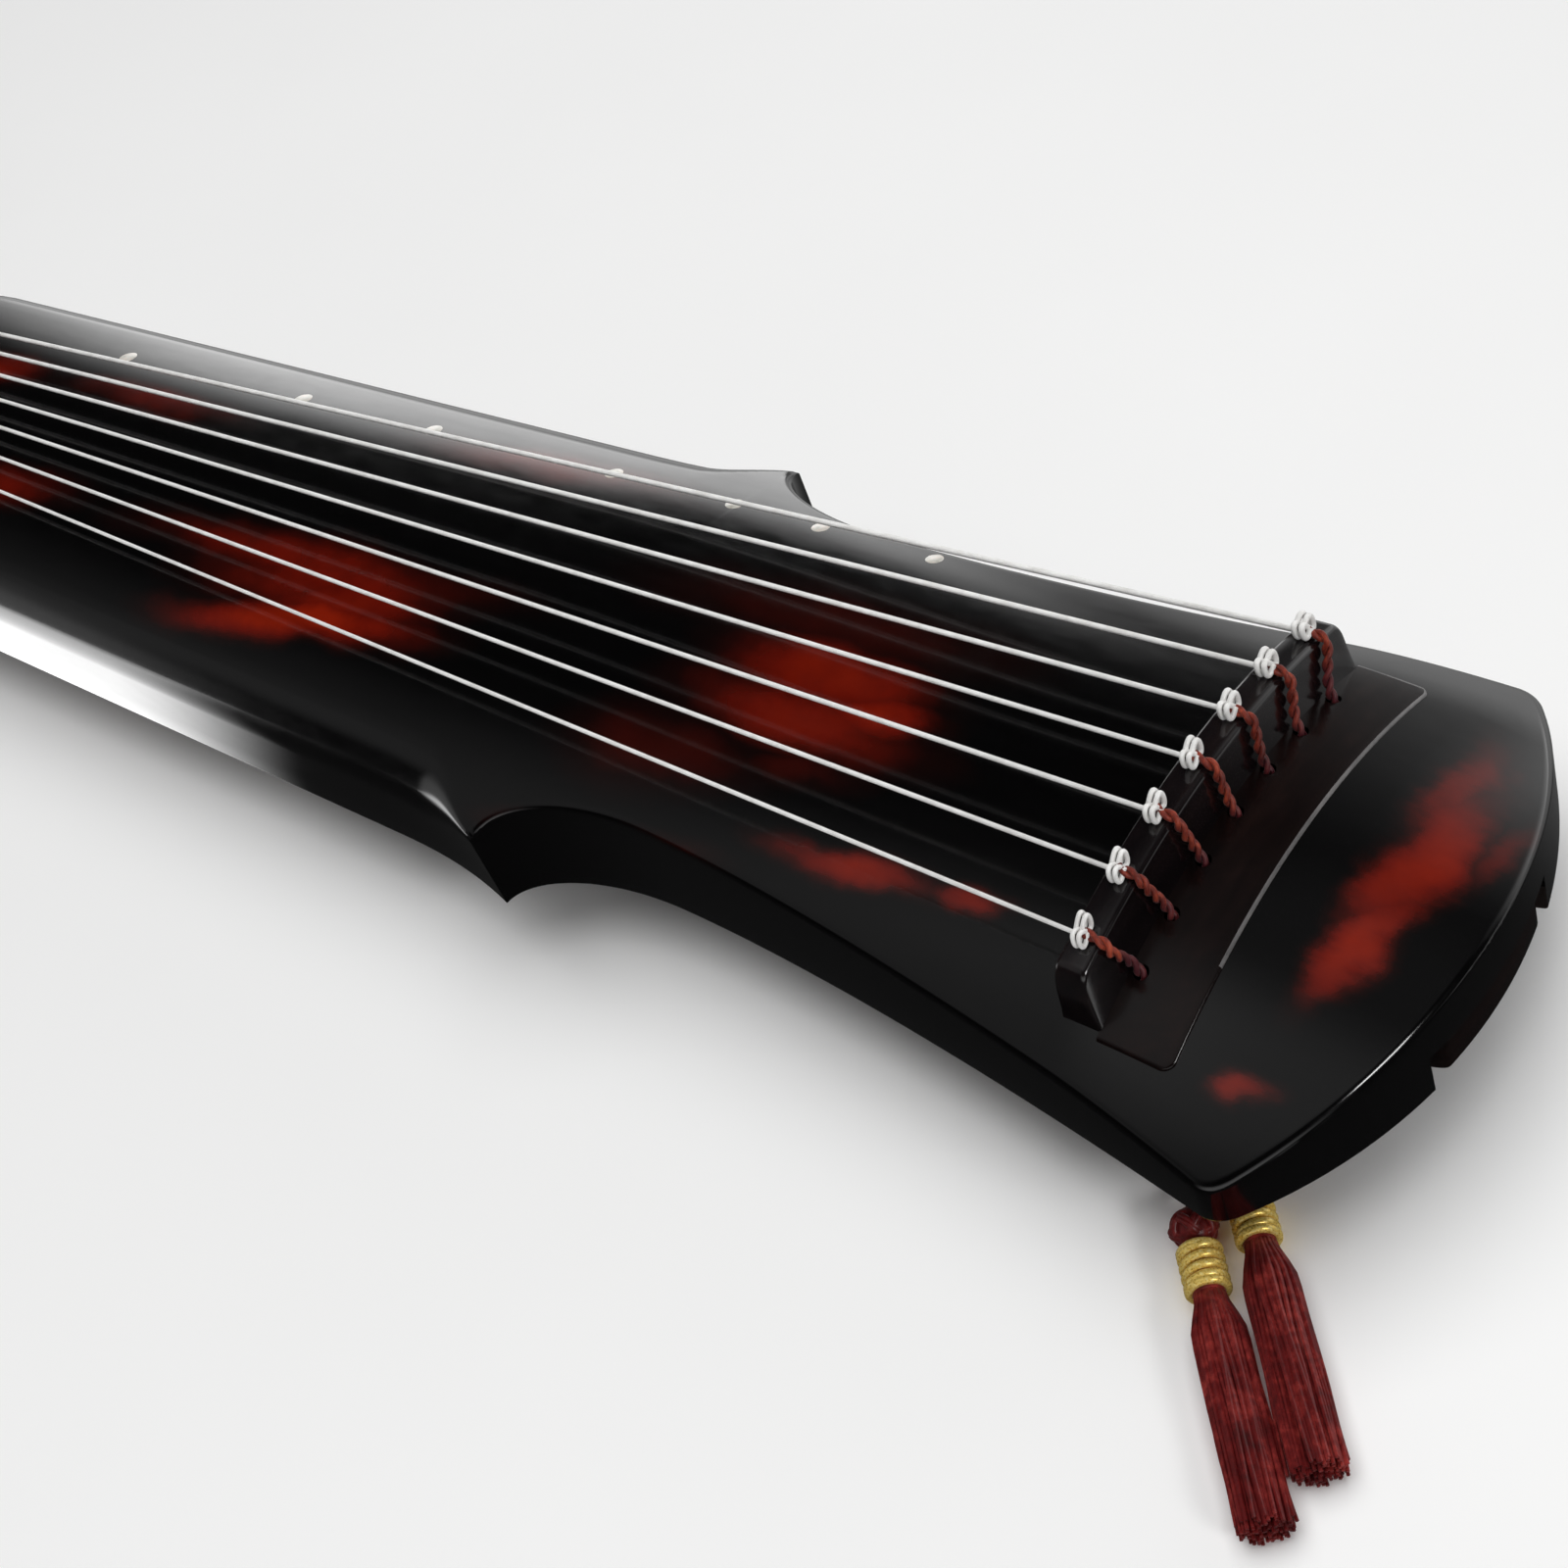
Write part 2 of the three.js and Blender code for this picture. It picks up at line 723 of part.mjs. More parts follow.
function addTongue() {
  const inner = headEndRadius - tongueRecess + seat;
  const angle = Math.asin(tongueHalf / headEndRadius) - tongueEndGap / headEndRadius;
  const outerPoints = spread(-1, 1, 16).map((share) => {
    const full = 1 - THREE.MathUtils.smoothstep(Math.abs(share), tongueFlatShare, 1);
    const radius = inner + seat + (tongueRecess - tongueSetback - 2 * seat) * full;
    return polar(radius, angle * share);
  });
  const innerPoints = spread(1, -1, 8).map((share) => polar(inner, angle * share));
  const shape = new THREE.Shape([...outerPoints, ...innerPoints]);
  const low = footHeight + tongueHeight;
  add('head_tongue', raise(shape, low, low + tongueThick), materials.ebony);
}

function polar(radius, angle) {
  return new THREE.Vector2(headArcX + radius * Math.cos(angle), radius * Math.sin(angle));
}

// The tail pieces: the nut, the lower gum and the two crown horns
function addNut() {
  const foot = faceZ(tailX, 0) - nutDrop;
  const centreX = tailX + nutRound;
  const rings = spread(-nutHalf, nutHalf, 8).map((y) => {
    const top = nutTopZ(y);
    const round = spread(0, Math.PI / 2, 4).map((a) => [
      centreX - nutRound * Math.sin(a),
      top - nutRound * (1 - Math.cos(a)),
    ]);
    const section = [
      [tailX + nutLength, foot],
      [tailX + nutLength, top - nutRise],
      [-stringLength, top],
      ...round,
      [tailX, foot],
    ];
    return section.map(([x, z]) => new THREE.Vector3(x, y, z));
  });
  add('nut', loft(rings, acrossY), materials.ebony);
}

function nutCut() {
  return solidOf(box(
    tailX - overrun,
    tailX + nutLength + seat,
    -nutHalf - seat,
    nutHalf + seat,
    faceZ(tailX, 0) - nutDrop - seat,
    bearingZ,
  ));
}

function addLowerGum() {
  const low = footHeight - seat;
  const high = low + gumHeight;
  const round = spread(0, Math.PI / 2, 4).map((a) => [
    tailX + gumRound * (1 - Math.cos(a)),
    low + gumRound * (1 - Math.sin(a)),
  ]);
  const section = [[tailX, high], ...round, [tailX + gumLength, low], [tailX + gumLength, high]];
  const rings = [-gumHalf, gumHalf].map((y) => section.map(([x, z]) => new THREE.Vector3(x, y, z)));
  add('lower_gum', loft(rings, acrossY), materials.ebony);
}

function gumCut() {
  return solidOf(box(
    tailX - overrun,
    tailX + gumLength + seat,
    -gumHalf - seat,
    gumHalf + seat,
    footHeight - overrun,
    footHeight + gumHeight,
  ));
}

// A horn's outline is an ogee between the nut and the edge of the tail.
function hornOutline(sign, extra) {
  const inner = nutHalf + 2 * seat - extra;
  const outer = hornHalf + extra;
  const start = tailX + seat - 2 * extra;
  const reach = tailX + hornReach + extra;
  const waist = tailX + hornReach * hornWaistShare + extra;
  const middle = (inner + outer) / 2;
  const shape = new THREE.Shape();
  shape.moveTo(start, inner * sign);
  shape.lineTo(waist, inner * sign);
  shape.quadraticCurveTo(waist, middle * sign, (waist + reach) / 2, middle * sign);
  shape.quadraticCurveTo(reach, middle * sign, reach, outer * sign);
  shape.lineTo(start, outer * sign);
  return shape;
}

function horn(sign, extra) {
  const slab = faceSlab(
    tailX - overrun,
    tailX + hornReach + overrun,
    Math.min(sign, 0) * (hornHalf + overrun),
    Math.max(sign, 0) * (hornHalf + overrun),
    inlayDepth + extra,
    extra > 0 ? overrun : hornRise,
    3,
    8,
  );
  return solidOf(slab).intersect(solidOf(raise(hornOutline(sign, extra), footHeight, bearingZ, 6)));
}

// The top board: arched shell, hollowed and cut for everything that is let into it
function addTopBoard() {
  let board = solidOf(loft(stations.map(topBoardRing), acrossX));
  board = board.subtract(hollow());
  board = board.subtract(bridgeGroove());
  board = board.subtract(headPlate(seat));
  board = board.subtract(solidOf(pegPlateBox(seat)));
  board = board.subtract(tongueRecessCut(footHeight - overrun, footHeight + tongueRoof));
  board = board.subtract(nutCut());
  board = board.subtract(gumCut());
  board = board.subtract(horn(1, seat));
  board = board.subtract(horn(-1, seat));
  for (let i = 0; i < stringCount; i += 1) {
    board = board.subtract(loopHole(i, footHeight, bearingZ));
  }
  for (const place of studPlaces()) {
    board = board.subtract(studPocket(place));
  }
  add('top_board', board, materials.lacquer);
}

// The bottom board: flat, with the sound holes, the peg pool and the sockets
function bodyOutline() {
  const far = stations.map((x) => new THREE.Vector2(x, Math.max(halfWidth(x), seat)));
  const near = far.map((point) => new THREE.Vector2(point.x, -point.y)).reverse();
  return new THREE.Shape([...far.reverse(), ...near.reverse()]);
}

function poolHole(middle, length) {
  const half = poolWidth / 2;
  return roundedRectangle(new THREE.Path(), middle - length / 2, middle + length / 2, -half, half, half);
}

// A hole whose flats, not its corners, lie at the radius.
function roundHole(x, y, radius) {
  const reach = radius / Math.cos(Math.PI / roundSides);
  return new THREE.Path(spread(0, 2 * Math.PI, roundSides).slice(0, roundSides)
    .map((a) => new THREE.Vector2(x + reach * Math.cos(a), y + reach * Math.sin(a))));
}

function guardSocket(sign) {
  const middle = sign * guardMiddleY();
  const half = guardThick / 2 - guardTenonInset / 2 + seat;
  const start = pegX - guardLength / 2 + guardTenonInset - seat;
  const end = pegX + guardLength / 2 - guardTenonInset + seat;
  const path = new THREE.Path();
  path.moveTo(start, middle - half);
  path.lineTo(end, middle - half);
  path.lineTo(end, middle + half);
  path.lineTo(start, middle + half);
  path.closePath();
  return path;
}

function guardMiddleY() {
  return pegPoolHalf + guardGap + guardThick / 2;
}

function addBottomBoard() {
  const outline = bodyOutline();
  outline.holes.push(poolHole(longPoolX, longPoolLength));
  outline.holes.push(poolHole(shortPoolX, shortPoolLength));
  for (const sign of [-1, 1]) {
    outline.holes.push(roundHole(footX, sign * footHalfSpread, footTenonDiameter / 2 + seat));
    outline.holes.push(guardSocket(sign));
  }
  let board = solidOf(raise(outline, footHeight, boardTopZ - seat, 4));
  board = board.subtract(tongueRecessCut(footHeight - overrun, footHeight + tongueRoof));
  board = board.subtract(gumCut());
  board = board.subtract(pegPool());
  for (let i = 0; i < stringCount; i += 1) {
    board = board.subtract(loopHole(i, footHeight, bearingZ));
  }
  add('bottom_board', board, materials.underside);
}

// The peg pool is carved from below and leaves a thin roof, which the pegs bear on.
function pegPool() {
  const half = pegPoolLength / 2;
  const outline = roundedRectangle(
    new THREE.Shape(), pegX - half, pegX + half, -pegPoolHalf, pegPoolHalf, pegPoolCorner,
  );
  return solidOf(raise(outline, footHeight - overrun, pegPoolRoofZ, 4));
}

// The hardwood plate over the peg pool's roof, let into the top board
function pegPlateBox(extra) {
  const half = pegPoolLength / 2 + guardTenonInset / 2;
  const reach = pegPoolHalf + guardGap / 2;
  return box(
    pegX - half - extra,
    pegX + half + extra,
    -reach - extra,
    reach + extra,
    boardTopZ - (extra > 0 ? overrun : 0),
    boardTopZ + pegPlateThick + extra,
  );
}

function addPegPlate() {
  let plate = solidOf(pegPlateBox(0));
  for (let i = 0; i < stringCount; i += 1) {
    plate = plate.subtract(loopHole(i, footHeight, bearingZ));
  }
  add('peg_plate', plate, materials.ebony);
}

// A peg, bored from its top for the loop and from its foot for the tassel's cord
function pegProfile() {
  const top = pegTopZ;
  const length = top - pegClearance;
  const bore = pegBoreDiameter / 2;
  const tailBore = pegTailBoreDiameter / 2;
  const at = (share) => top - length * share;
  const step = top - pegBoreDepth;
  return [
    [bore, step],
    [bore, top],
    [pegCollarDiameter / 2, top],
    [pegCollarDiameter / 2, at(pegShares.collar)],
    [pegWaistDiameter / 2, at(pegShares.waistTop)],
    [pegWaistDiameter / 2, at(pegShares.waistFoot)],
    [pegHandleDiameter / 2, at(pegShares.handleTop)],
    [pegHandleDiameter / 2, at(pegShares.handleMiddle)],
    [pegFootDiameter / 2, at(pegShares.foot)],
    [pegFootDiameter / 2 - pegFlute, at(1)],
    [tailBore, at(1)],
    [tailBore, step],
    [bore, step],
  ].reverse().map(([r, z]) => new THREE.Vector2(r, z));
}

function pegGeometry() {
  const geometry = new THREE.LatheGeometry(pegProfile(), pegSides);
  geometry.rotateX(Math.PI / 2);
  const position = geometry.getAttribute('position');
  const handleTop = pegTopZ - (pegTopZ - pegClearance) * pegShares.waistFoot;
  for (let i = 0; i < position.count; i += 1) {
    const radius = Math.hypot(position.getX(i), position.getY(i));
    const onHandle = position.getZ(i) < handleTop - seat && radius > pegBoreDiameter;
    const turn = Math.atan2(position.getY(i), position.getX(i)) / (2 * Math.PI);
    const flute = Math.round(turn * pegSides) % 2 !== 0;
    if (onHandle && flute) {
      const scale = (radius - pegFlute) / radius;
      position.setXY(i, position.getX(i) * scale, position.getY(i) * scale);
    }
  }
  return geometry;
}

function addPegs() {
  for (let i = 0; i < stringCount; i += 1) {
    const peg = add(`peg_${i + 1}`, solidOf(pegGeometry()), materials.pegWood);
    peg.position.set(pegX, pegY(i), 0);
  }
}

// The guards at both ends of the peg row, on which the head stands
function addGuards() {
  const half = guardLength / 2;
  const low = half - guardToeInset;
  const tenon = half - guardTenonInset;
  const shoulder = footHeight - seat;
  const tenonTop = boardTopZ - 2 * seat;
  const tenonHalf = guardThick / 2 - guardTenonInset / 2;
  for (const [name, sign] of [['guard_far', 1], ['guard_near', -1]]) {
    const shape = new THREE.Shape();
    shape.moveTo(-low, 0);
    shape.lineTo(low, 0);
    shape.quadraticCurveTo(low, footHeight / 2, half, shoulder);
    shape.lineTo(-half, shoulder);
    shape.quadraticCurveTo(-low, footHeight / 2, -low, 0);
    const wing = raise(shape, 0, guardThick, 6);
    wing.rotateX(Math.PI / 2);
    wing.translate(0, guardThick / 2, 0);
    const tongue = box(-tenon, tenon, -tenonHalf, tenonHalf, shoulder - overrun, tenonTop);
    const guard = add(name, solidOf(wing).add(solidOf(tongue)), materials.pegWood);
    guard.position.set(pegX, sign * guardMiddleY(), 0);
  }
}

// The goose feet, turned in one piece with their tenons
function addFeet() {
  const shoulder = footHeight - seat;
  const shank = footShankDiameter / 2;
  const sole = footSoleDiameter / 2;
  const collar = footCollarDiameter / 2;
  const profile = [
    [0, 0],
    [sole - footSoleHeight / 6, 0],
    [sole, footSoleHeight / 6],
    [sole, footSoleHeight / 2],
    [shank, footSoleHeight],
    [shank, shoulder - footCollarHeight],
    [collar, shoulder - footCollarHeight / 2],
    [collar, shoulder],
    [footTenonDiameter / 2, shoulder],
    [footTenonDiameter / 2, boardTopZ - 2 * seat],
    [0, boardTopZ - 2 * seat],
  ].map(([r, z]) => new THREE.Vector2(r, z));
  for (const [name, sign] of [['foot_far', 1], ['foot_near', -1]]) {
    const geometry = new THREE.LatheGeometry(profile, roundSides);
    geometry.rotateX(Math.PI / 2);
    const foot = add(name, solidOf(geometry), materials.pegWood);
    foot.position.set(footX, sign * footHalfSpread, 0);
  }
}

// The two pillars between the boards
function addPillars() {
  const radius = roundPillarDiameter / 2;
  const roundTop = ceilingZ(roundPillarX, radius) - 2 * seat;
  const roundPillar = post(radius, roundPillarX, 0, boardTopZ, roundTop, roundSides);
  add('pillar_round', roundPillar, materials.innerWood);
  const x = squarePillarX;
  const half = squarePillarSide / 2;
  const squareTop = ceilingZ(x, half) - 2 * seat;
  const squarePillar = box(x - half, x + half, -half, half, boardTopZ, squareTop);
  add('pillar_square', squarePillar, materials.innerWood);
}

// A string: the bow knot on the bridge, the run to the nut, round the tail, and the turns on a foot
function knotPoints(i) {
  const radius = stringDiameters[i] / 2;
  const y = bridgeY(i);
  const lift = seat + radius + knotHalfHeight;
  const depth = 2 * (stringDiameters[i] + leastWindingGap);
  return spread(1, 0, knotSteps).map((share) => {
    const angle = 2 * Math.PI * share;
    const pointY = y + knotHalfLength * Math.sin(angle);
    const pointZ = bridgeTopZ(pointY) + lift + knotHalfHeight * Math.sin(2 * angle);
    return new THREE.Vector3(knotStart + depth * share, pointY, pointZ);
  });
}

function tailPoints(i) {
  const radius = stringDiameters[i] / 2;
  const y = nutY(i);
  const upperReach = nutRound + radius + seat;
  const upperZ = nutTopZ(y) - nutRound;
  const upper = spread(0, Math.PI / 2, 4).map((a) => new THREE.Vector3(
    tailX + nutRound - upperReach * Math.sin(a), y, upperZ + upperReach * Math.cos(a),
  ));
  const lowerReach = gumRound + radius + seat;
  const lowerZ = footHeight - seat + gumRound;
  const lower = spread(0, Math.PI / 2, 4).map((a) => new THREE.Vector3(
    tailX + gumRound - lowerReach * Math.cos(a), y, lowerZ - lowerReach * Math.sin(a),
  ));
  return [...upper, ...lower];
}

// The far foot takes the first strings from its top down, the near foot the rest.
function windingPoints(i) {
  const onFar = i < farFootStrings;
  const sign = onFar ? 1 : -1;
  const first = onFar ? 0 : farFootStrings;
  const pitchOf = (k) => stringDiameters[k] + leastWindingGap;
  let top = footHeight - seat - footCollarHeight - pitchOf(first) / 2;
  for (let k = first; k < i; k += 1) {
    top -= pitchOf(k) * (footTurns + 1 / 2);
  }
  const radius = stringDiameters[i] / 2;
  const reach = (footShankDiameter / 2 + radius + seat) / Math.cos(Math.PI / turnSteps);
  const centre = new THREE.Vector2(footX, sign * footHalfSpread);
  const start = new THREE.Vector2(tailX + gumRound, nutY(i));
  const toStart = start.clone().sub(centre);
  const tangentAngle = toStart.angle() + sign * Math.acos(reach / toStart.length());
  return spread(0, footTurns, Math.round(footTurns * turnSteps)).map((turns) => {
    const angle = tangentAngle + sign * 2 * Math.PI * turns;
    return new THREE.Vector3(
      centre.x + reach * Math.cos(angle),
      centre.y + reach * Math.sin(angle),
      top - pitchOf(i) * turns,
    );
  });
}

function stringPoints(i) {
  const radius = stringDiameters[i] / 2;
  const y = bridgeY(i);
  const bearing = new THREE.Vector3(0, y, bridgeTopZ(y) + seat + radius);
  const rise = new THREE.Vector3(knotStart / 2, y, bearing.z + knotHalfHeight / 3);
  const nut = new THREE.Vector3(-stringLength, nutY(i), nutTopZ(nutY(i)) + seat + radius);
  return [...knotPoints(i), rise, bearing, nut, ...tailPoints(i), ...windingPoints(i)];
}

// The least distance between stretches of one tube that are not neighbours, less its diameter.
function leastSelfGap(points, diameter) {
  const lengths = [0];
  for (let k = 1; k < points.length; k += 1) {
    lengths.push(lengths[k - 1] + points[k].distanceTo(points[k - 1]));
  }
  let least = Infinity;
  for (let a = 0; a < points.length; a += 1) {
    for (let b = a + 1; b < points.length; b += 1) {
      if (lengths[b] - lengths[a] > diameter * Math.PI) {
        least = Math.min(least, points[a].distanceTo(points[b]) - diameter);
      }
    }
  }
  return least;
}

function addStrings() {
  for (let i = 0; i < stringCount; i += 1) {
    const points = stringPoints(i);
    const gap = leastSelfGap(points, stringDiameters[i]);
    console.log(`string ${i + 1}: least gap to itself ${gap.toFixed(2)} mm`);
    add(`string_${i + 1}`, sweep(points, stringDiameters[i] / 2, stringSides), materials.string);
  }
}

// A tube along a smooth curve through points
function tube(points, radius, sides, steps) {
  const section = new THREE.Shape(spread(0, 2 * Math.PI, sides).slice(0, sides)
    .map((a) => new THREE.Vector2(radius * Math.cos(a), radius * Math.sin(a))));
  const extrudePath = new THREE.CatmullRomCurve3(points, false, 'centripetal');
  return new THREE.ExtrudeGeometry(section, { steps, bevelEnabled: false, extrudePath });
}

// A loop of twisted silk: over the bridge's outer edge and slanting down into the peg's bore
function loopPoints(i) {
  const y = bridgeY(i);
  const top = bridgeTopZ(y);
  const radius = loopDiameter / 2;
  const cornerX = bridgeFrontX - bridgeEdgeRound;
  const cornerZ = top - bridgeEdgeRound;
  const reach = bridgeEdgeRound + radius + seat;
  const start = knotStart + 2 * (stringDiameters[i] + leastWindingGap) + stringDiameters[i] / 2 + seat;
  const over = spread(0, Math.PI / 2, 3).map((a) => new THREE.Vector3(
    cornerX + reach * Math.sin(a), y, cornerZ + reach * Math.cos(a),
  ));
  const holeY = pegY(i);
  const footY = y + (holeY - y) * loopSlantShare;
  const face = faceZ(0, holeY);
  const end = pegTopZ - loopEndDepth;
  return [
    new THREE.Vector3(start, y, top + seat + radius),
    ...over.slice(1),
    new THREE.Vector3(bridgeFootX + radius, footY, face + loopDiameter + plateRise),
    new THREE.Vector3(pegX, holeY, face - radius),
    new THREE.Vector3(pegX, holeY, (face + boardTopZ) / 2),
    new THREE.Vector3(pegX, holeY, boardTopZ),
    new THREE.Vector3(pegX, holeY, end),
  ];
}

function addLoops() {
  for (let i = 0; i < stringCount; i += 1) {
    const loop = tube(loopPoints(i), loopDiameter / 2, loopSides, 16);
    add(`silk_loop_${i + 1}`, solidOf(loop), materials.silkLoop);
  }
}

// The tassels. Each cord leaves its peg's foot and lies on the standing surface to its tassel.
// Routes are chosen by hand, counted from the peg: steps in X and Y, and the heading at the end.
const cordRoutes = [
  { lay: [[-12, 0.6], [-24, 1.4], [-33, 0.8]], heading: 179.2 },
  { lay: [[-12, -0.6], [-26, -1], [-37, 0.2]], heading: 179.7 },
  { lay: [[-12, 0.8], [-23, 1], [-32, 0.1]], heading: 180 },
  { lay: [[-12, -0.4], [-25, -1], [-36, -0.2]], heading: 180.3 },
  { lay: [[-12, 0.5], [-24, 0.4], [-33, -0.6]], heading: 180.8 },
  { lay: [[9, -8], [16, -18], [21.6, -25.7]], heading: -48 },
  { lay: [[11, -5], [15.5, -17], [17.1, -27.7]], heading: -48 },
];

function tasselProfile() {
  const knot = tasselKnotDiameter / 2;
  const neck = tasselNeckDiameter / 2;
  const skirt = tasselSkirtDiameter / 2;
  const knotEnd = tasselKnotLength;
  const neckEnd = knotEnd + tasselNeckLength;
  const end = neckEnd + tasselSkirtLength;
  return [
    [0, 0],
    ...knotRadiusShares.map((share, i) => [knot * share, tasselKnotLength * knotLengthShares[i]]),
    [neck, knotEnd + tasselNeckLength * neckBindShare],
    [neck, neckEnd - tasselNeckLength * neckBindShare],
    [neck * neckFootShare, neckEnd],
    [skirt, neckEnd + tasselSkirtLength * skirtSwellShare],
    [skirt, end],
    [0, end],
  ].map(([r, z]) => new THREE.Vector2(r, z));
}

function addTassels() {
  const skirt = tasselSkirtDiameter / 2;
  const lieZ = tasselCordDiameter / 2 + floorGap;
  const headZ = skirt + floorGap;
  const [hang, land] = cordDropShares;
  cordRoutes.forEach((route, i) => {
    const heading = THREE.MathUtils.degToRad(route.heading);
    const ahead = new THREE.Vector3(Math.cos(heading), Math.sin(heading), 0);
    const [firstX, firstY] = route.lay[0];
    const [lastX, lastY] = route.lay.at(-1);
    const headStart = new THREE.Vector3(lastX, lastY, headZ);
    const points = [
      new THREE.Vector3(0, 0, pegClearance + tasselCordEntry),
      new THREE.Vector3(0, 0, pegClearance),
      new THREE.Vector3(firstX * hang, firstY * hang, pegClearance * cordHangShare),
      new THREE.Vector3(firstX * land, firstY * land, lieZ + floorGap),
      new THREE.Vector3(firstX, firstY, lieZ),
      ...route.lay.slice(1, -1).map(([x, y]) => new THREE.Vector3(x, y, (lieZ + headZ) / 2)),
      headStart.clone(),
      headStart.clone().addScaledVector(ahead, tasselKnotLength / 2),
    ];
    const cord = solidOf(tube(points, tasselCordDiameter / 2, smallSides, 10));
    const body = new THREE.LatheGeometry(tasselProfile(), smallSides);
    body.rotateZ(-Math.PI / 2);
    body.rotateZ(heading);
    body.translate(headStart.x, headStart.y, headZ);
    const tassel = add(`tassel_${i + 1}`, cord.add(solidOf(body)), materials.tassel);
    tassel.position.set(pegX, pegY(i), 0);
  });
}

addTopBoard();
addBottomBoard();
addBridge();
addHeadPlate();
addTongue();
addNut();
addLowerGum();
add('horn_far', horn(1, 0), materials.ebony);
add('horn_near', horn(-1, 0), materials.ebony);
addPegPlate();
addGuards();
addFeet();
addPillars();
addStuds();
addStrings();
addLoops();
addPegs();
addTassels();

export default guqin;
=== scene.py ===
# A guqin, the seven-stringed long zither: black lacquer with soft vermilion clouds,
# white strings with their knots on the bridge, twisted red loops, turned pegs and silk tassels.
# Sizes are in millimetres, counted along X from the line where the strings bear on the bridge,
# and are turned into metres in the model's own frame when a mesh is made.
import random
from math import acos, asin, atan2, copysign, cos, hypot, pi as PI, radians, sin, sqrt

import bmesh
import bpy
from mathutils import Matrix, Vector
from mathutils.kdtree import KDTree


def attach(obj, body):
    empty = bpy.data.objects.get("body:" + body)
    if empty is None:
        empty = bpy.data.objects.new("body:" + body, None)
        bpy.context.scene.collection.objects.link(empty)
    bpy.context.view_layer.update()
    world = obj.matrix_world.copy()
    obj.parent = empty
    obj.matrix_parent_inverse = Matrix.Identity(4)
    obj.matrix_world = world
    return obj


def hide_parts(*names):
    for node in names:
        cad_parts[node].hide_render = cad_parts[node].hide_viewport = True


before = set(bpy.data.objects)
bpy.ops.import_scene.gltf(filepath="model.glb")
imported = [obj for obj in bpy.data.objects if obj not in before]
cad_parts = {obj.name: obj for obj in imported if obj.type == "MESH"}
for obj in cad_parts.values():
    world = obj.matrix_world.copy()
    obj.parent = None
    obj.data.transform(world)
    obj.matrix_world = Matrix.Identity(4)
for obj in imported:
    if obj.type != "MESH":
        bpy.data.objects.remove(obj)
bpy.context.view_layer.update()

scene = bpy.context.scene
SHIFT = 522.35
# The room's strength where it is looked at, just short of clipping
WHITE = 0.95

STRINGS = 7
STRING_LENGTH, HEAD_REACH, TAIL_X = 1120, 89.5, -1132
SHOULDER_X, NECK_X = -222, -165
WAIST_END_X, WAIST_LENGTH = -870, 180
WAIST_START_X = WAIST_END_X + WAIST_LENGTH
HEAD_HALF, NECK_HALF, SHOULDER_HALF, BODY_HALF = 97, 70, 93, 86
WAIST_HALF, WAIST_DEPTH, TAIL_HALF = 77, 9, 69
END_RADIUS, CORNER_BLEND, TAIL_CORNER = 149, 7, 9
ARC_X, LAST_X = HEAD_REACH - END_RADIUS, HEAD_REACH - 0.05
FLARE_LENGTH, NECK_POWER, SHOULDER_POWER = 62, 1.55, 2.4
FOOT_HEIGHT, BOARD_TOP = 36, 46
# The face's height over the body's underside: at the bridge, at the head's end, from LEVEL_X to the tail
BRIDGE_DEPTH, END_DEPTH, BODY_DEPTH, TAIL_DROP, LEVEL_X = 47.6, 32, 53, 2, -280
BODY_ARCH, HEAD_ARCH = 18, 26
BODY_EDGE, HEAD_EDGE = 13, 2
POOL_ROOF = 43.7
PEG_TOP = 43.4
PEG_X, PEG_CLEAR = 13.4, 8
FOOT_X, FOOT_Y, FOOT_STEM = -711, 46, 8.5
SPACING, NUT_SPACING, PEG_SPACING = 20.17, 6.2, 18.1
BRIDGE_HALF, BRIDGE_END = 72.5, 5
PLATE_HALF, PLATE_REACH, PLATE_CORNER = 75, 33, 4
DIAMETERS = [1.9, 1.8, 1.7, 1.6, 1.6, 1.5, 1.4]
LOOP_HOLE = 2.3
BEARING_Z = 102.0
SEAT = 0.3

# The cuts run past the boards. At the tail the nut's slot comes from above, the gum's from below.
CUT_OVERRUN, CUT_LOW, CUT_MIDDLE, CUT_HIGH = 4, 30, 60, 110
NUT_SLOT_LOW, GUM_SLOT_HIGH = 65.7, 50.2
NUT_HALF, NUT_SLOT_HALF, NUT_SLOT_X = 27, 27.2, TAIL_X + 15.8
GUM_HALF, GUM_SLOT_HALF, GUM_SLOT_X = 25, 25.2, TAIL_X + 13.8
NUT_BEND, GUM_BEND = 7, 5
# The sound holes, the pool and the tongue's recess in the bottom board
SOUND_HOLE_HALF, SOUND_HOLES = 13.5, ((-540, -320), (-956, -844))
POOL_HALF_LENGTH, POOL_HALF_WIDTH, POOL_CORNER = 12.5, 64.5, 4
RECESS_HALF, RECESS_DEPTH = 34, 11


def at(x, y, z):
    return Vector(((x + SHIFT) / 1000, y / 1000, z / 1000))


def smoothstep(x, low, high):
    t = min(max((x - low) / (high - low), 0), 1)
    return t * t * (3 - 2 * t)


def spread(low, high, count):
    return [low + (high - low) * i / count for i in range(count + 1)]


def bridge_y(i):
    return (3 - i) * SPACING


def nut_y(i):
    return (3 - i) * NUT_SPACING


def peg_y(i):
    return (3 - i) * PEG_SPACING


# The camera stands where the photographer stood
camera_data = bpy.data.cameras.new("camera")
camera_data.sensor_width = 36
camera_data.lens = 55.25
camera_data.clip_start = 0.01
camera = bpy.data.objects.new("camera", camera_data)
camera.matrix_world = Matrix((
    (0.75995711, -0.27208715, 0.59028279, 0.83428),
    (0.57753160, 0.69932479, -0.42119127, -0.35024),
    (-0.29819865, 0.66099427, 0.68859578, 0.58893),
    (0, 0, 0, 1),
))
scene.collection.objects.link(camera)
scene.camera = camera
scene.view_settings.view_transform = "Standard"


# Materials

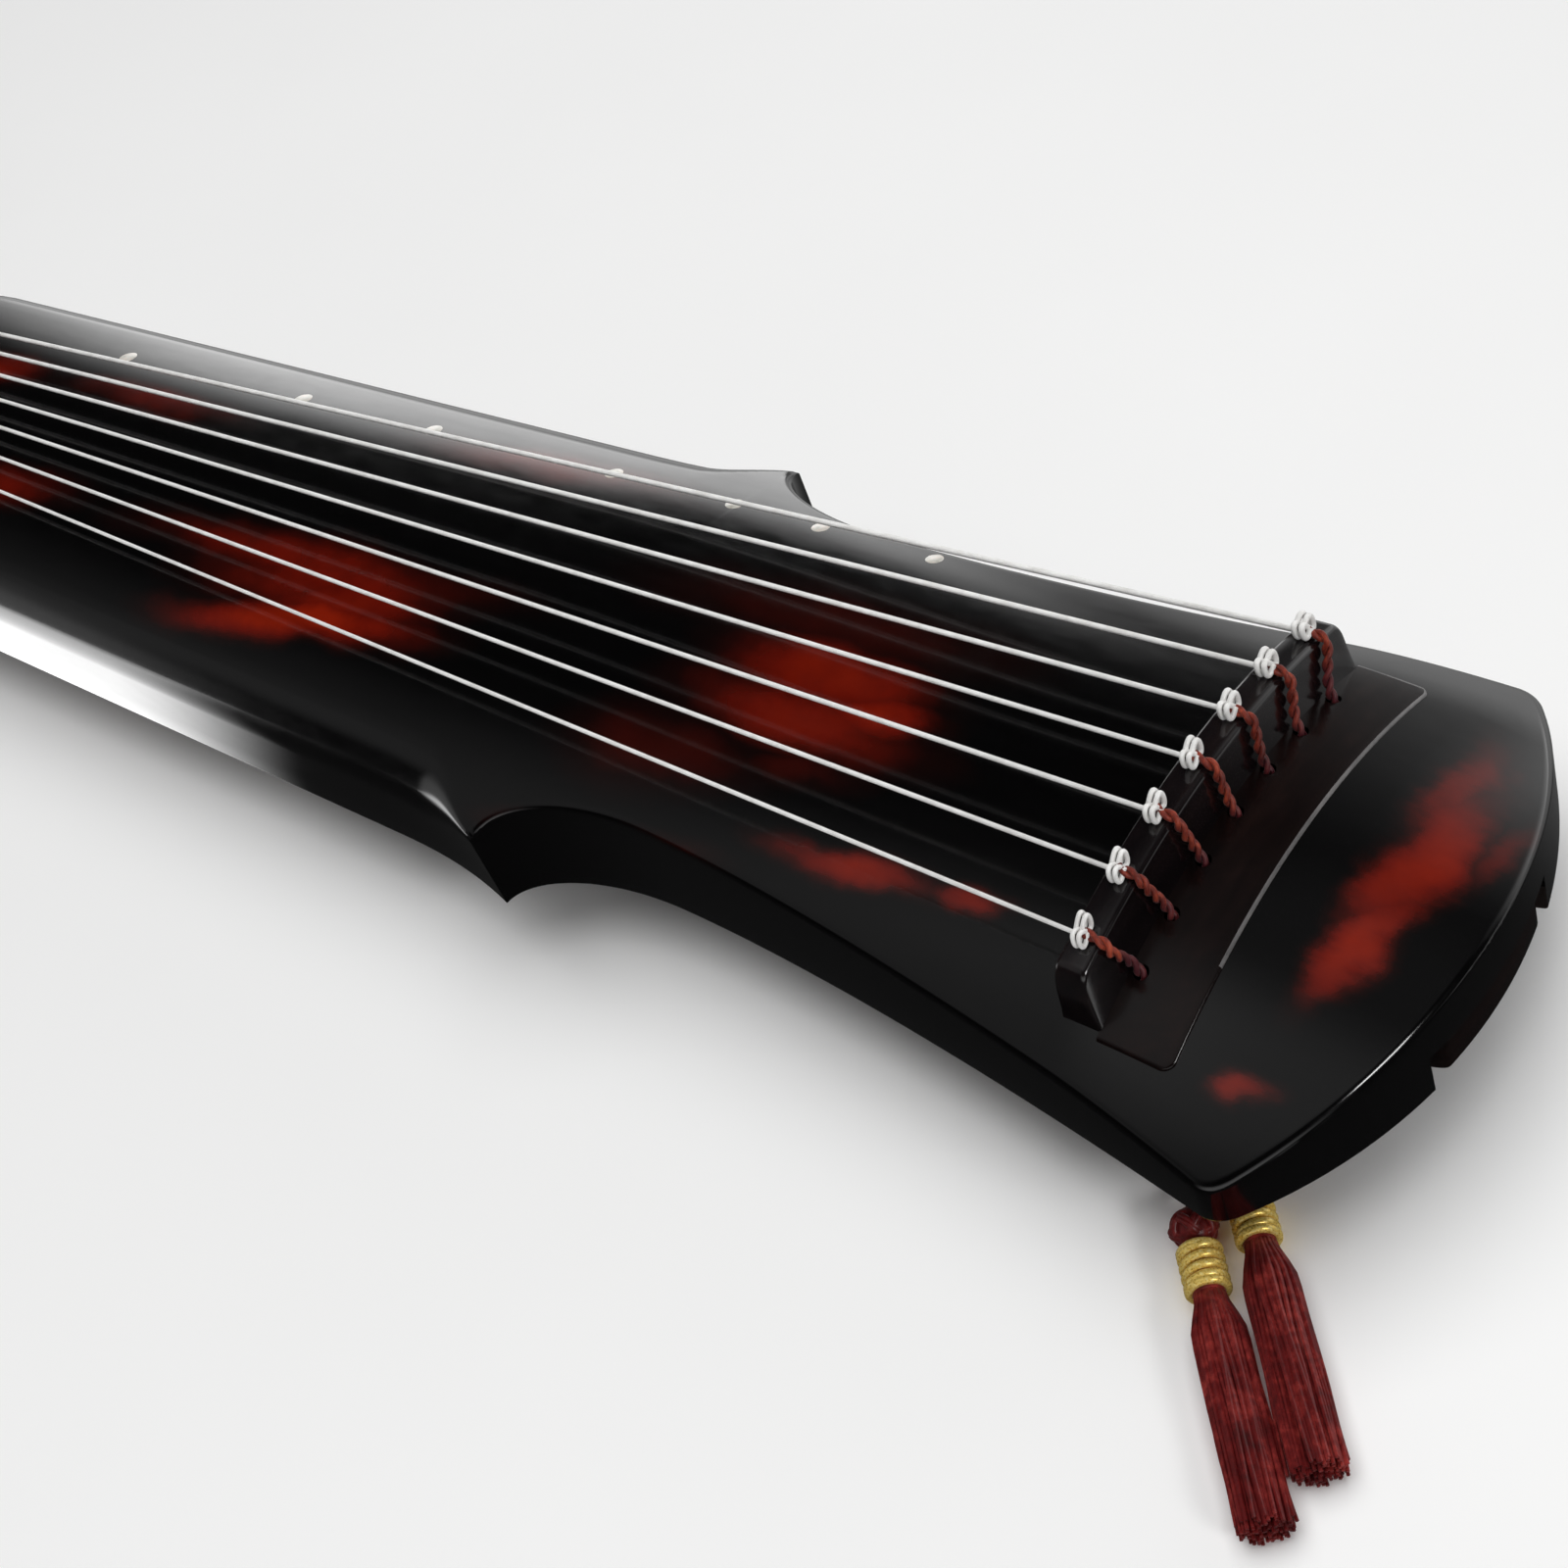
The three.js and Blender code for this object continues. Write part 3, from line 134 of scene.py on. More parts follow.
def node(tree, kind, inputs=None, **settings):
    made = tree.nodes.new("ShaderNode" + kind)
    for key, value in settings.items():
        setattr(made, key, value)
    for key, value in (inputs or {}).items():
        if isinstance(value, bpy.types.NodeSocket):
            tree.links.new(value, made.inputs[key])
        else:
            made.inputs[key].default_value = value
    return made


def start(name, **sockets):
    material = bpy.data.materials.new(name)
    material.use_nodes = True
    tree = material.node_tree
    shader = tree.nodes["Principled BSDF"]
    for key, value in sockets.items():
        shader.inputs[key.replace("_", " ")].default_value = value
    place = node(tree, "TexCoord").outputs["Object"]
    return material, tree, shader, place


def noisy(tree, vector, scale, detail=4.0, roughness=0.55):
    return node(tree, "TexNoise", {
        "Vector": vector, "Scale": scale, "Detail": detail, "Roughness": roughness,
    }).outputs["Fac"]


def stretched(tree, vector, scale):
    return node(tree, "Mapping", {"Vector": vector, "Scale": scale}).outputs["Vector"]


def ramp(tree, value, stops):
    made = node(tree, "ValToRGB", {"Fac": value})
    points = made.color_ramp.elements
    while len(points) < len(stops):
        points.new(0.5)
    for point, (place, color) in zip(points, stops):
        point.position = place
        point.color = (*color, 1)
    return made.outputs["Color"]


def maths(tree, operation, a, b=0.5, clamp=False):
    return node(tree, "Math", {0: a, 1: b}, operation=operation, use_clamp=clamp).outputs[0]


def product(tree, first, *others):
    for other in others:
        first = maths(tree, "MULTIPLY", first, other)
    return first


def spans(tree, value, low, high, to_low, to_high, kind="SMOOTHSTEP"):
    return node(tree, "MapRange", {
        "Value": value, "From Min": low, "From Max": high, "To Min": to_low, "To Max": to_high,
    }, interpolation_type=kind).outputs["Result"]


def split(tree, vector):
    return node(tree, "SeparateXYZ", {"Vector": vector}).outputs


def bumps(tree, shader, height, strength, distance):
    made = node(tree, "Bump", {"Height": height, "Strength": strength, "Distance": distance})
    tree.links.new(made.outputs["Normal"], shader.inputs["Normal"])


def color_of(tree, shader, color):
    tree.links.new(color, shader.inputs["Base Color"])


def roughness_of(tree, shader, value, low, high):
    tree.links.new(spans(tree, value, 0.3, 0.7, low, high, "LINEAR"), shader.inputs["Roughness"])


# Soft vermilion clouds: middle along and across, reach along and across, turn in degrees, strength
CLOUDS = [
    (62, -22, 27, 9.6, 73, 0.9), (63, 9, 38, 13, 87, 0.84),
    (60, 36, 33, 9.5, 95, 0.56), (78, 21, 19, 8, 74, 0.46),
    (52, -71, 12, 4.5, 23, 0.8),
    (-349, -47, 74, 11.5, 9, 1.0), (-366, -22, 106, 12.6, 4, 0.60), (-330, -34, 52, 13, 8, 0.72),
    (-347, -28, 78, 16, 8, 0.62), (-121, -34, 28, 6.8, 7, 0.3),
    (-517, 30, 62, 10, 2, 0.52), (-311, 55, 80, 12, 6, 0.55),
    (-133, 1, 47, 17.5, 1, 0.76), (-133, -18, 54, 14.5, 0, 0.72), (-108, -8, 26, 12, 6, 0.84),
    (-170, -44, 44, 18, 8, 0.30), (-150, 22, 80, 18, 4, 0.26),
    (-85, -57, 36, 6.7, 5, 0.9), (-44, -52, 14, 5, 8, 0.8), (-175, -79, 48, 7, 10, 0.42),
    (-560, -34, 66, 12, 7, 0.62), (-640, 18, 60, 15, 9, 0.9), (-668, -52, 40, 9, 4, 0.7),
    (-742, 30, 62, 13, -6, 0.8), (-790, -36, 58, 14, 8, 0.8), (-846, 24, 46, 12, 4, 0.7),
    (-905, -12, 56, 15, -7, 0.9), (-968, 38, 52, 11, 5, 0.8), (-1010, -40, 48, 12, 8, 0.85),
    (-1070, 6, 38, 12, -4, 0.5),
]


def lacquer():
    material, tree, shader, place = start(
        "lacquer", Roughness=0.14, Specular_IOR_Level=0.5, Coat_Weight=0.35, Coat_Roughness=0.06,
    )
    flat = node(tree, "VectorMath", {0: place, 1: (1, 1, 0)}, operation="MULTIPLY").outputs[0]
    broad = node(tree, "TexNoise", {"Vector": flat, "Scale": 26, "Detail": 3}).outputs["Color"]
    fine = node(tree, "TexNoise", {
        "Vector": stretched(tree, flat, (0.4, 1, 1)), "Scale": 110, "Detail": 5, "Roughness": 0.7,
    }).outputs["Color"]
    pushed = flat
    for color, reach in ((broad, (0.030, 0.016, 0)), (fine, (0.009, 0.004, 0))):
        shifts = {0: color, 1: reach, 2: pushed}
        pushed = node(tree, "VectorMath", shifts, operation="MULTIPLY_ADD").outputs[0]
    total = None
    for x, y, along, across, turn, strength in CLOUDS:
        where = node(tree, "Mapping", {
            "Vector": pushed,
            "Location": ((x + SHIFT) / 1000 + 0.0195, y / 1000 + 0.010, 0),
            "Rotation": (0, 0, radians(turn)),
            "Scale": (along / 1000, across / 1000, 1),
        }, vector_type="TEXTURE").outputs["Vector"]
        away = node(tree, "VectorMath", {0: where}, operation="LENGTH").outputs["Value"]
        cloud = spans(tree, away, 0.1, 1.3, strength, 0)
        total = cloud if total is None else maths(tree, "MAXIMUM", total, cloud)
    mottle = spans(tree, noisy(tree, flat, 60, 4, 0.6), 0.3, 0.65, 0.84, 1.04, "LINEAR")
    facing = split(tree, node(tree, "NewGeometry").outputs["Normal"])["Z"]
    depth = product(tree, total, mottle, spans(tree, facing, 0.25, 0.75, 0, 1))
    color = ramp(tree, depth, [
        (0.0, (0.0012, 0.0011, 0.0012)),
        (0.14, (0.0060, 0.0014, 0.0012)),
        (0.34, (0.032, 0.0024, 0.0013)),
        (0.60, (0.108, 0.0048, 0.0016)),
        (0.95, (0.200, 0.0100, 0.0018)),
    ])
    color_of(tree, shader, color)
    haze = noisy(tree, stretched(tree, place, (1, 3, 3)), 60, 5, 0.6)
    roughness_of(tree, shader, haze, 0.11, 0.18)
    ripple = noisy(tree, stretched(tree, place, (0.35, 1, 1)), 90, 2, 0.4)
    bumps(tree, shader, ripple, 0.05, 0.0006)
    return material


def underside():
    material, tree, shader, place = start(
        "underside", Specular_IOR_Level=0.45, Coat_Weight=0.15, Coat_Roughness=0.2,
    )
    haze = noisy(tree, stretched(tree, place, (0.3, 1, 1)), 40, 5, 0.6)
    color_of(tree, shader, ramp(tree, haze, [
        (0.3, (0.0050, 0.0042, 0.0042)), (0.55, (0.010, 0.0062, 0.0054)), (0.8, (0.022, 0.0105, 0.008)),
    ]))
    roughness_of(tree, shader, haze, 0.24, 0.36)
    bumps(tree, shader, noisy(tree, place, 120, 3), 0.06, 0.0006)
    return material


def grained(name, along, colors, roughness, coat, scale, specular=0.5):
    material, tree, shader, place = start(
        name, Specular_IOR_Level=specular, Coat_Weight=coat, Coat_Roughness=0.08,
    )
    lengthwise = stretched(tree, place, along)
    grain = noisy(tree, lengthwise, scale, 8, 0.62)
    pores = noisy(tree, stretched(tree, lengthwise, (1, 6, 6)), scale * 1.5, 3, 0.5)
    mix = maths(tree, "ADD", product(tree, grain, 0.75), product(tree, pores, 0.25))
    color_of(tree, shader, ramp(tree, mix, list(zip((0.34, 0.52, 0.72), colors))))
    roughness_of(tree, shader, grain, *roughness)
    bumps(tree, shader, mix, 0.12, 0.0004)
    return material


def string_white():
    material, tree, shader, place = start("string_white", Roughness=0.38, Specular_IOR_Level=0.5)
    wound = node(tree, "TexWave", {
        "Vector": place, "Scale": 700, "Distortion": 0.6, "Detail": 1,
    }, bands_direction="X").outputs["Fac"]
    dust = noisy(tree, place, 160, 3)
    color_of(tree, shader, ramp(tree, dust, [(0.3, (0.72, 0.71, 0.69)), (0.6, (0.86, 0.855, 0.84))]))
    bumps(tree, shader, wound, 0.25, 0.00012)
    return material


def silk(name, colors, scale, sheen, roughness, foot=None):
    """Silk floss. A foot is painted shade on its lower end: the height where the shade starts, where it ends,
    and its colour.
    """
    material, tree, shader, place = start(
        name, Roughness=roughness, Sheen_Weight=sheen, Sheen_Roughness=0.4, Specular_IOR_Level=0.35,
    )
    fibre = noisy(tree, stretched(tree, place, (1, 1, 0.35)), scale, 5, 0.7)
    patch = noisy(tree, place, 90, 3, 0.5)
    mix = maths(tree, "ADD", product(tree, fibre, 0.55), product(tree, patch, 0.45))
    color = ramp(tree, mix, list(zip((0.34, 0.5, 0.66), colors)))
    if foot:
        # Painted shade: the colour darkens towards the lower end, between the foot's two heights.
        low, high, shade_color = foot
        share = spans(tree, split(tree, place)["Z"], low, high, 0.75, 0)
        color = node(tree, "Mix", {0: share, 6: color, 7: (*shade_color, 1)}, data_type="RGBA").outputs[2]
    color_of(tree, shader, color)
    bumps(tree, shader, fibre, 0.5, 0.0003)
    return material


def speckled(name, scale, detail, stops, relief, roughness=None, **sockets):
    """One fine noise gives the colour, the relief and, between two ends, the roughness."""
    material, tree, shader, place = start(name, **sockets)
    speck = noisy(tree, place, scale, detail, 0.6)
    color_of(tree, shader, ramp(tree, speck, stops))
    if roughness:
        roughness_of(tree, shader, speck, *roughness)
    bumps(tree, shader, speck, *relief)
    return material


def floor_white():
    material, tree, shader, place = start("floor_white", Roughness=0.9, Specular_IOR_Level=0.0)
    grain = noisy(tree, place, 3, 3)
    color_of(tree, shader, ramp(tree, grain, [(0.3, (0.925, 0.925, 0.922)), (0.7, (0.945, 0.945, 0.942))]))
    # What gloss sees of it is a painted reflection, a glow with no lamp behind it: a bright patch at the near
    # left, dim in front, pale behind
    east, north, _ = split(tree, place)
    slant = maths(tree, "ADD", east, product(tree, north, -1.18))
    patch = product(
        tree,
        spans(tree, slant, 0.261, 0.121, 0, 3.2),
        spans(tree, north, -0.02, -0.09, 0, 1),
        spans(tree, north, -0.9, -0.5, 0.6, 1),
    )
    level = maths(tree, "ADD", patch, spans(tree, north, 0.05, 0.35, 0.02, 0.66))
    glossy_glow = node(tree, "Emission", {"Strength": level}).outputs[0]
    # Far off it is as white as the room. It lets light through from below, where nothing of it is seen.
    pale = node(tree, "Emission", {"Strength": WHITE}).outputs[0]
    clear = node(tree, "BsdfTransparent").outputs[0]
    rays = node(tree, "LightPath").outputs
    away = node(tree, "VectorMath", {0: place}, operation="LENGTH").outputs["Value"]
    far_off = product(tree, spans(tree, away, 1.0, 2.1, 0, 1), rays["Is Camera Ray"])
    below = node(tree, "NewGeometry").outputs["Backfacing"]
    layers = ((far_off, pale), (rays["Is Glossy Ray"], glossy_glow), (below, clear), (rays["Is Shadow Ray"], clear))
    seen = shader.outputs[0]
    for share, other in layers:
        seen = node(tree, "MixShader", {0: share, 1: seen, 2: other}).outputs[0]
    tree.links.new(seen, tree.nodes["Material Output"].inputs["Surface"])
    return material


LACQUER = lacquer()
UNDERSIDE = underside()
RAW_WOOD = grained(
    "raw_wood", (0.12, 1, 1), ((0.26, 0.14, 0.06), (0.40, 0.24, 0.115), (0.52, 0.34, 0.18)),
    (0.6, 0.8), 0, 90, 0.3,
)
EBONY = grained(
    "ebony", (1, 0.1, 1), ((0.0024, 0.0013, 0.0013), (0.0048, 0.0022, 0.0020), (0.0100, 0.0042, 0.0034)),
    (0.16, 0.25), 0.1, 130, 0.36,
)
BRIDGE_WOOD = grained(
    "bridge_wood", (1, 0.1, 1),
    ((0.0028, 0.0020, 0.0024), (0.0056, 0.0038, 0.0042), (0.0110, 0.0060, 0.0056)), (0.14, 0.24), 0.6, 130,
)
PEG_WOOD = grained(
    "peg_wood", (1, 1, 0.14), ((0.014, 0.0055, 0.004), (0.034, 0.0125, 0.008), (0.075, 0.027, 0.015)),
    (0.2, 0.34), 0.35, 140,
)
# A lighter grey for the plate's rim: a painted highlight where its edge catches the light.
PLATE_HIGHLIGHT = grained(
    "plate_highlight", (1, 0.3, 1), ((0.055, 0.052, 0.053), (0.105, 0.100, 0.100), (0.170, 0.160, 0.158)),
    (0.22, 0.36), 0.1, 90,
)
STRING_WHITE = string_white()
# The loops get painted shade towards their lower ends, where they go down to the plate and into the peg
# holes.
LOOP_SILK = silk(
    "loop_silk", ((0.030, 0.004, 0.003), (0.145, 0.016, 0.008), (0.40, 0.062, 0.024)),
    520, 0.08, 0.45, (0.0815, 0.0905, (0.050, 0.008, 0.016)),
)
TASSEL_SILK = silk(
    "tassel_silk", ((0.042, 0.0030, 0.0035), (0.120, 0.0065, 0.0065), (0.30, 0.032, 0.026)), 380, 0.1, 0.38,
)
GOLD = speckled(
    "gold_thread", 1500, 3, [(0.3, (0.66, 0.38, 0.05)), (0.5, (0.95, 0.68, 0.16)), (0.7, (1.0, 0.86, 0.40))],
    (0.25, 0.0001), (0.24, 0.42), Metallic=0.45, Specular_IOR_Level=0.5,
)
PEARL = speckled(
    "pearl", 330, 4, [
        (0.3, (0.40, 0.38, 0.33)), (0.48, (0.56, 0.55, 0.50)),
        (0.6, (0.64, 0.56, 0.50)), (0.75, (0.52, 0.59, 0.57)),
    ], (0.1, 0.0002), Roughness=0.22, Specular_IOR_Level=0.6, Coat_Weight=0.4, Coat_Roughness=0.06,
)
FLOOR = floor_white()


# Making meshes

def build(name, verts, faces, looks, sharp=32):
    """An object from points in millimetres, smooth but for edges sharper than an angle."""
    mesh = bpy.data.meshes.new(name)
    mesh.from_pydata([at(*v) for v in verts], [], faces)
    made = bpy.data.objects.new(name, mesh)
    scene.collection.objects.link(made)
    for look in looks if isinstance(looks, (list, tuple)) else [looks]:
        mesh.materials.append(look)
    tidy(made, sharp)
    return made


def tidy(made, sharp=32, weld=True):
    work = bmesh.new()
    work.from_mesh(made.data)
    if weld:
        bmesh.ops.remove_doubles(work, verts=work.verts, dist=1e-7)
    bmesh.ops.recalc_face_normals(work, faces=work.faces)
    limit = radians(sharp)
    for face in work.faces:
        face.smooth = True
    for edge in work.edges:
        edge.smooth = len(edge.link_faces) == 2 and edge.calc_face_angle(0) < limit
    work.to_mesh(made.data)
    work.free()
    made.data.update()


def faces_of(made):
    for face in made.data.polygons:
        x, y, z = face.center * 1000
        yield face, x - SHIFT, y, z


def settle(made, body, slot, *nodes):
    if nodes:
        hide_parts(*nodes)
    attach(made, body)
    return made


def lofted(rings):
    count = len(rings[0])
    verts = [p for ring in rings for p in ring]
    last = len(verts) - count
    faces = []
    for base in range(0, last, count):
        for i in range(count):
            j = (i + 1) % count
            faces.append((base + i, base + j, base + count + j, base + count + i))
    faces.append(tuple(range(count))[::-1])
    faces.append(tuple(range(last, len(verts))))
    return verts, faces


def joined(parts):
    verts, faces = [], []
    for some_verts, some_faces in parts:
        base = len(verts)
        verts += some_verts
        faces += [tuple(i + base for i in face) for face in some_faces]
    return verts, faces


def prism(outline, z0, z1):
    return lofted([[(x, y, z0) for x, y in outline], [(x, y, z1) for x, y in outline]])


def disc(x, y, radius, sides):
    return [(x + radius * cos(2 * PI * k / sides), y + radius * sin(2 * PI * k / sides))
            for k in range(sides)]


def oblong(x0, x1, half):
    return [(x0, -half), (x1, -half), (x1, half), (x0, half)]


def loop_holes(low, high):
    return joined([prism(disc(PEG_X, peg_y(i), LOOP_HOLE, 28), low, high) for i in range(STRINGS)])


def bezier(a, b, c, t):
    return tuple((1 - t) ** 2 * p + 2 * t * (1 - t) * q + t * t * r for p, q, r in zip(a, b, c))


def both_sides(level, radius, end_steps, middle_steps):
    """Places across a piece, even over its level middle and close together where its ends are round."""
    ends = [level + radius * sin(a) for a in spread(0, PI / 2, end_steps)]
    return [-y for y in reversed(ends)] + spread(-level, level, middle_steps)[1:-1] + ends


def rounded(x0, x1, half, radius, steps):
    left, right, out = x0 + radius, x1 - radius, half - radius
    points = []
    for cx, cy, turn in ((right, -out, -90), (right, out, 0), (left, out, 90), (left, -out, 180)):
        for k in range(steps + 1):
            a = radians(turn + 90 * k / steps)
            points.append((cx + radius * cos(a), cy + radius * sin(a)))
    return points


def carve(made, cutters, sharp=32):
    """Cuts solids out of an object, which keeps its materials."""
    for verts, faces in cutters:
        cutter = build("cutter", verts, faces, [], 32)
        change = made.modifiers.new("carve", "BOOLEAN")
        change.operation = "DIFFERENCE"
        change.solver = "EXACT"
        change.object = cutter
        graph = bpy.context.evaluated_depsgraph_get()
        mesh = bpy.data.meshes.new_from_object(made.evaluated_get(graph))
        made.modifiers.clear()
        old = made.data
        made.data = mesh
        bpy.data.meshes.remove(old)
        bpy.data.objects.remove(cutter)
    tidy(made, sharp, weld=False)
    return made


def framed(points):
    """Each point of a line with two directions across it, carried along without twist."""
    last = len(points) - 1
    side = Vector((0, 1, 0))
    frames = []
    for k, point in enumerate(points):
        ahead = (points[min(k + 1, last)] - points[max(k - 1, 0)]).normalized()
        side = side - ahead * side.dot(ahead)
        side = (side if side.length > 1e-6 else ahead.orthogonal()).normalized()
        frames.append((point, side, ahead.cross(side)))
    return frames


def swept(points, radius, sides, tapered=None):
    """A tube along points in millimetres."""
    frames = framed([Vector(p) for p in points])
    turns = [2 * PI * j / sides for j in range(sides)]
    rings = []
    for k, (point, side, up) in enumerate(frames):
        size = radius * (tapered(k / (len(frames) - 1)) if tapered else 1)
        rings.append([tuple(point + side * (size * cos(a)) + up * (size * sin(a))) for a in turns])
    return lofted(rings)


def catmull(points, steps):
    """A smooth line through points, evenly stepped between them."""
    def between(p, q, low, high):
        return p * ((high - t) / (high - low)) + q * ((t - low) / (high - low))

    points = [Vector(p) for p in points]
    ends = [points[0] * 2 - points[1], *points, points[-1] * 2 - points[-2]]
    line = []
    for k in range(1, len(ends) - 2):
        a, b, c, d = ends[k - 1:k + 3]
        t0 = 0
        t1 = t0 + max((b - a).length, 1e-6) ** 0.5
        t2 = t1 + max((c - b).length, 1e-6) ** 0.5
        t3 = t2 + max((d - c).length, 1e-6) ** 0.5
        for j in range(steps):
            t = t1 + (t2 - t1) * j / steps
            near, middle, far = between(a, b, t0, t1), between(b, c, t1, t2), between(c, d, t2, t3)
            line.append(between(between(near, middle, t0, t2), between(middle, far, t1, t3), t1, t2))
    line.append(points[-1])
    return line


def evenly(line, pitch):
    """The same line with a point every pitch."""
    out, left = [line[0].copy()], pitch
    for a, b in zip(line, line[1:]):
        span = (b - a).length
        while span >= left and span > 0:
            a = a.lerp(b, left / span)
            out.append(a.copy())
            span = (b - a).length
            left = pitch
        left -= span
    out.append(line[-1].copy())
    return out


def plied(line, offset, radius, pitch, plies, sides, phase):
    """Strands laid round a line like a rope."""
    step = 0.3
    frames = framed(evenly([Vector(p) for p in line], step))
    parts = []
    for ply in range(plies):
        path = []
        for k, (point, side, up) in enumerate(frames):
            turn = phase + 2 * PI * (ply / plies + step * k / pitch)
            path.append(point + side * (offset * cos(turn)) + up * (offset * sin(turn)))
        parts.append(swept(path, radius, sides))
    return joined(parts)


def curve_of(name, points, diameter, look):
    data = bpy.data.curves.new(name, "CURVE")
    data.dimensions = "3D"
    data.bevel_depth = diameter / 2000
    data.bevel_resolution = 3
    data.use_fill_caps = True
    spline = data.splines.new("POLY")
    spline.points.add(len(points) - 1)
    for spot, point in zip(spline.points, points):
        spot.co = (*at(*point), 1)
    spline.use_smooth = True
    data.materials.append(look)
    made = bpy.data.objects.new(name, data)
    scene.collection.objects.link(made)
    return made


def lathed(profile, sides, x=0, y=0, shape=None):
    """A body turned about an upright axis, from points (radius, height) that end on it or come back round."""
    count = len(profile)
    verts, faces = [], []
    for k in range(sides):
        a = 2 * PI * k / sides
        for r, z in profile:
            reach = shape(r, z, a) if shape else r
            verts.append((x + reach * cos(a), y + reach * sin(a), z))
        here, after = k * count, (k + 1) % sides * count
        faces += [(here + i, here + i + 1, after + i + 1, after + i) for i in range(count - 1)]
    closed = profile[0] == profile[-1]
    if not closed and profile[0][0] > 1e-6:
        faces.append(tuple(k * count for k in range(sides)))
    if not closed and profile[-1][0] > 1e-6:
        faces.append(tuple(k * count + count - 1 for k in range(sides))[::-1])
    return verts, faces


# The cords of the tassels. Each leaves its peg's foot, drops to the standing surface, runs over it
# and on through its tassel's knot and neck into the skirt.
LIE_Z, HEAD_Z = 1.45, 8.25
CORD_RADIUS = 1.2
KNOT_LENGTH, NECK_LENGTH, SKIRT_LENGTH = 14, 15, 73
ROUTES = [
    ([(-12, 0.6), (-24, 1.4), (-33, 0.8)], 179.2),
    ([(-12, -0.6), (-26, -1), (-37, 0.2)], 179.7),
    ([(-12, 0.8), (-23, 1), (-32, 0.1)], 180),
    ([(-12, -0.4), (-25, -1), (-36, -0.2)], 180.3),
    ([(-12, 0.5), (-24, 0.4), (-33, -0.6)], 180.8),
    ([(9, -8), (16, -18), (21.6, -25.7)], -48),
    ([(11, -5), (15.5, -17), (17.1, -27.7)], -48),
]


def cord_line(i):
    lay, heading = ROUTES[i]
    ahead = Vector((cos(radians(heading)), sin(radians(heading)), 0))
    first = Vector((*lay[0], 0))
    way = first.normalized()
    base = Vector((PEG_X, peg_y(i), 0))
    bend = 6.2
    points = [Vector((0, 0, 12)), Vector((0, 0, 10))]
    for k in range(7):
        a = PI / 2 * k / 6
        points.append(way * (bend * (1 - cos(a))) + Vector((0, 0, LIE_Z + bend * (1 - sin(a)))))
    points.append(first + Vector((0, 0, LIE_Z)))
    for x, y in lay[1:-1]:
        points.append(Vector((x, y, (LIE_Z + HEAD_Z) / 2)))
    start_of_head = Vector((*lay[-1], HEAD_Z))
    points.append(start_of_head)
    for reach in (8, 24, 40, 58):
        points.append(start_of_head + ahead * reach)
    line = [base + p for p in catmull(points, 8)]
    return line, base + start_of_head, ahead


UP = Vector((0, 0, 1))


def knot_ball(center, ahead, radius, thread):
    """A round button knot: one thread led over and under itself round a ball, drawn twice."""
    side = UP.cross(ahead).normalized()
    parts = []
    steps = 180
    for shift in (-0.5, 0.5):
        path = []
        for k in range(steps + 1):
            t = 2 * PI * 3 * k / steps
            lift = 0.55 * cos(10 * t / 3 + 0.3)
            latitude = 0.92 * sin(5 * t / 3) + shift * thread / radius * 0.95
            r = radius - thread / 2 + lift
            flat = cos(latitude) * r
            spot = center + ahead * (sin(latitude) * r * 0.82)
            path.append(spot + side * (flat * cos(t)) + UP * (flat * sin(t)))
        parts.append(swept(path, thread / 2, 8))
    return joined(parts)


def neck_winding(center, ahead, length, radius, thread):
    """Thread wound close round the neck, one turn beside the other, with a level turn at each end."""
    side = UP.cross(ahead).normalized()
    turns = length / thread + 2
    steps = int(turns * 26)
    path = []
    for k in range(steps + 1):
        t = 2 * PI * turns * k / steps
        along = min(max((turns * k / steps - 1) * thread, 0), length)
        path.append(center + ahead * along + side * (radius * cos(t)) + UP * (radius * sin(t)))
    return swept(path, thread * 0.43, 10)


def skirt_strands(center, ahead, seed):
    """A skirt of silk strands, gathered in the neck and lying full on the surface."""
    rng = random.Random(seed)
    side = UP.cross(ahead).normalized()
    parts = []
    outer, strand, count = 8.0, 0.72, 150
    golden_angle = 2.399963
    for k in range(count):
        ring = sqrt((k + 0.5) / count)
        angle = golden_angle * k
        lean = rng.uniform(-0.35, 0.35)
        reach = SKIRT_LENGTH * (1 - 0.035 * rng.random() - 0.02 * ring)
        wave = rng.uniform(0.15, 0.5)
        rate = rng.uniform(1.2, 2.4)
        phase = rng.uniform(0, 2 * PI)
        path = []
        for j in range(17):
            s = j / 16
            swell = 0.52 + 0.48 * smoothstep(s, 0, 0.22)
            r = ring * (outer - 0.75) * swell
            a = angle + lean * s + 0.05 * sin(rate * 2 * PI * s + phase)
            y = r * cos(a) * (1 + 0.10 * s)
            z = r * sin(a)
            droop = smoothstep(s, 0.1, 0.8)
            z = z * (1 - 0.16 * droop) - 1.15 * droop
            y += wave * sin(rate * 2 * PI * s + phase) * s
            point = center + ahead * (reach * s) + side * y
            path.append(Vector((point.x, point.y, max(HEAD_Z + z, 0.95))))
        parts.append(swept(path, strand, 5, lambda t: 1 - 0.25 * t))
    return joined(parts)


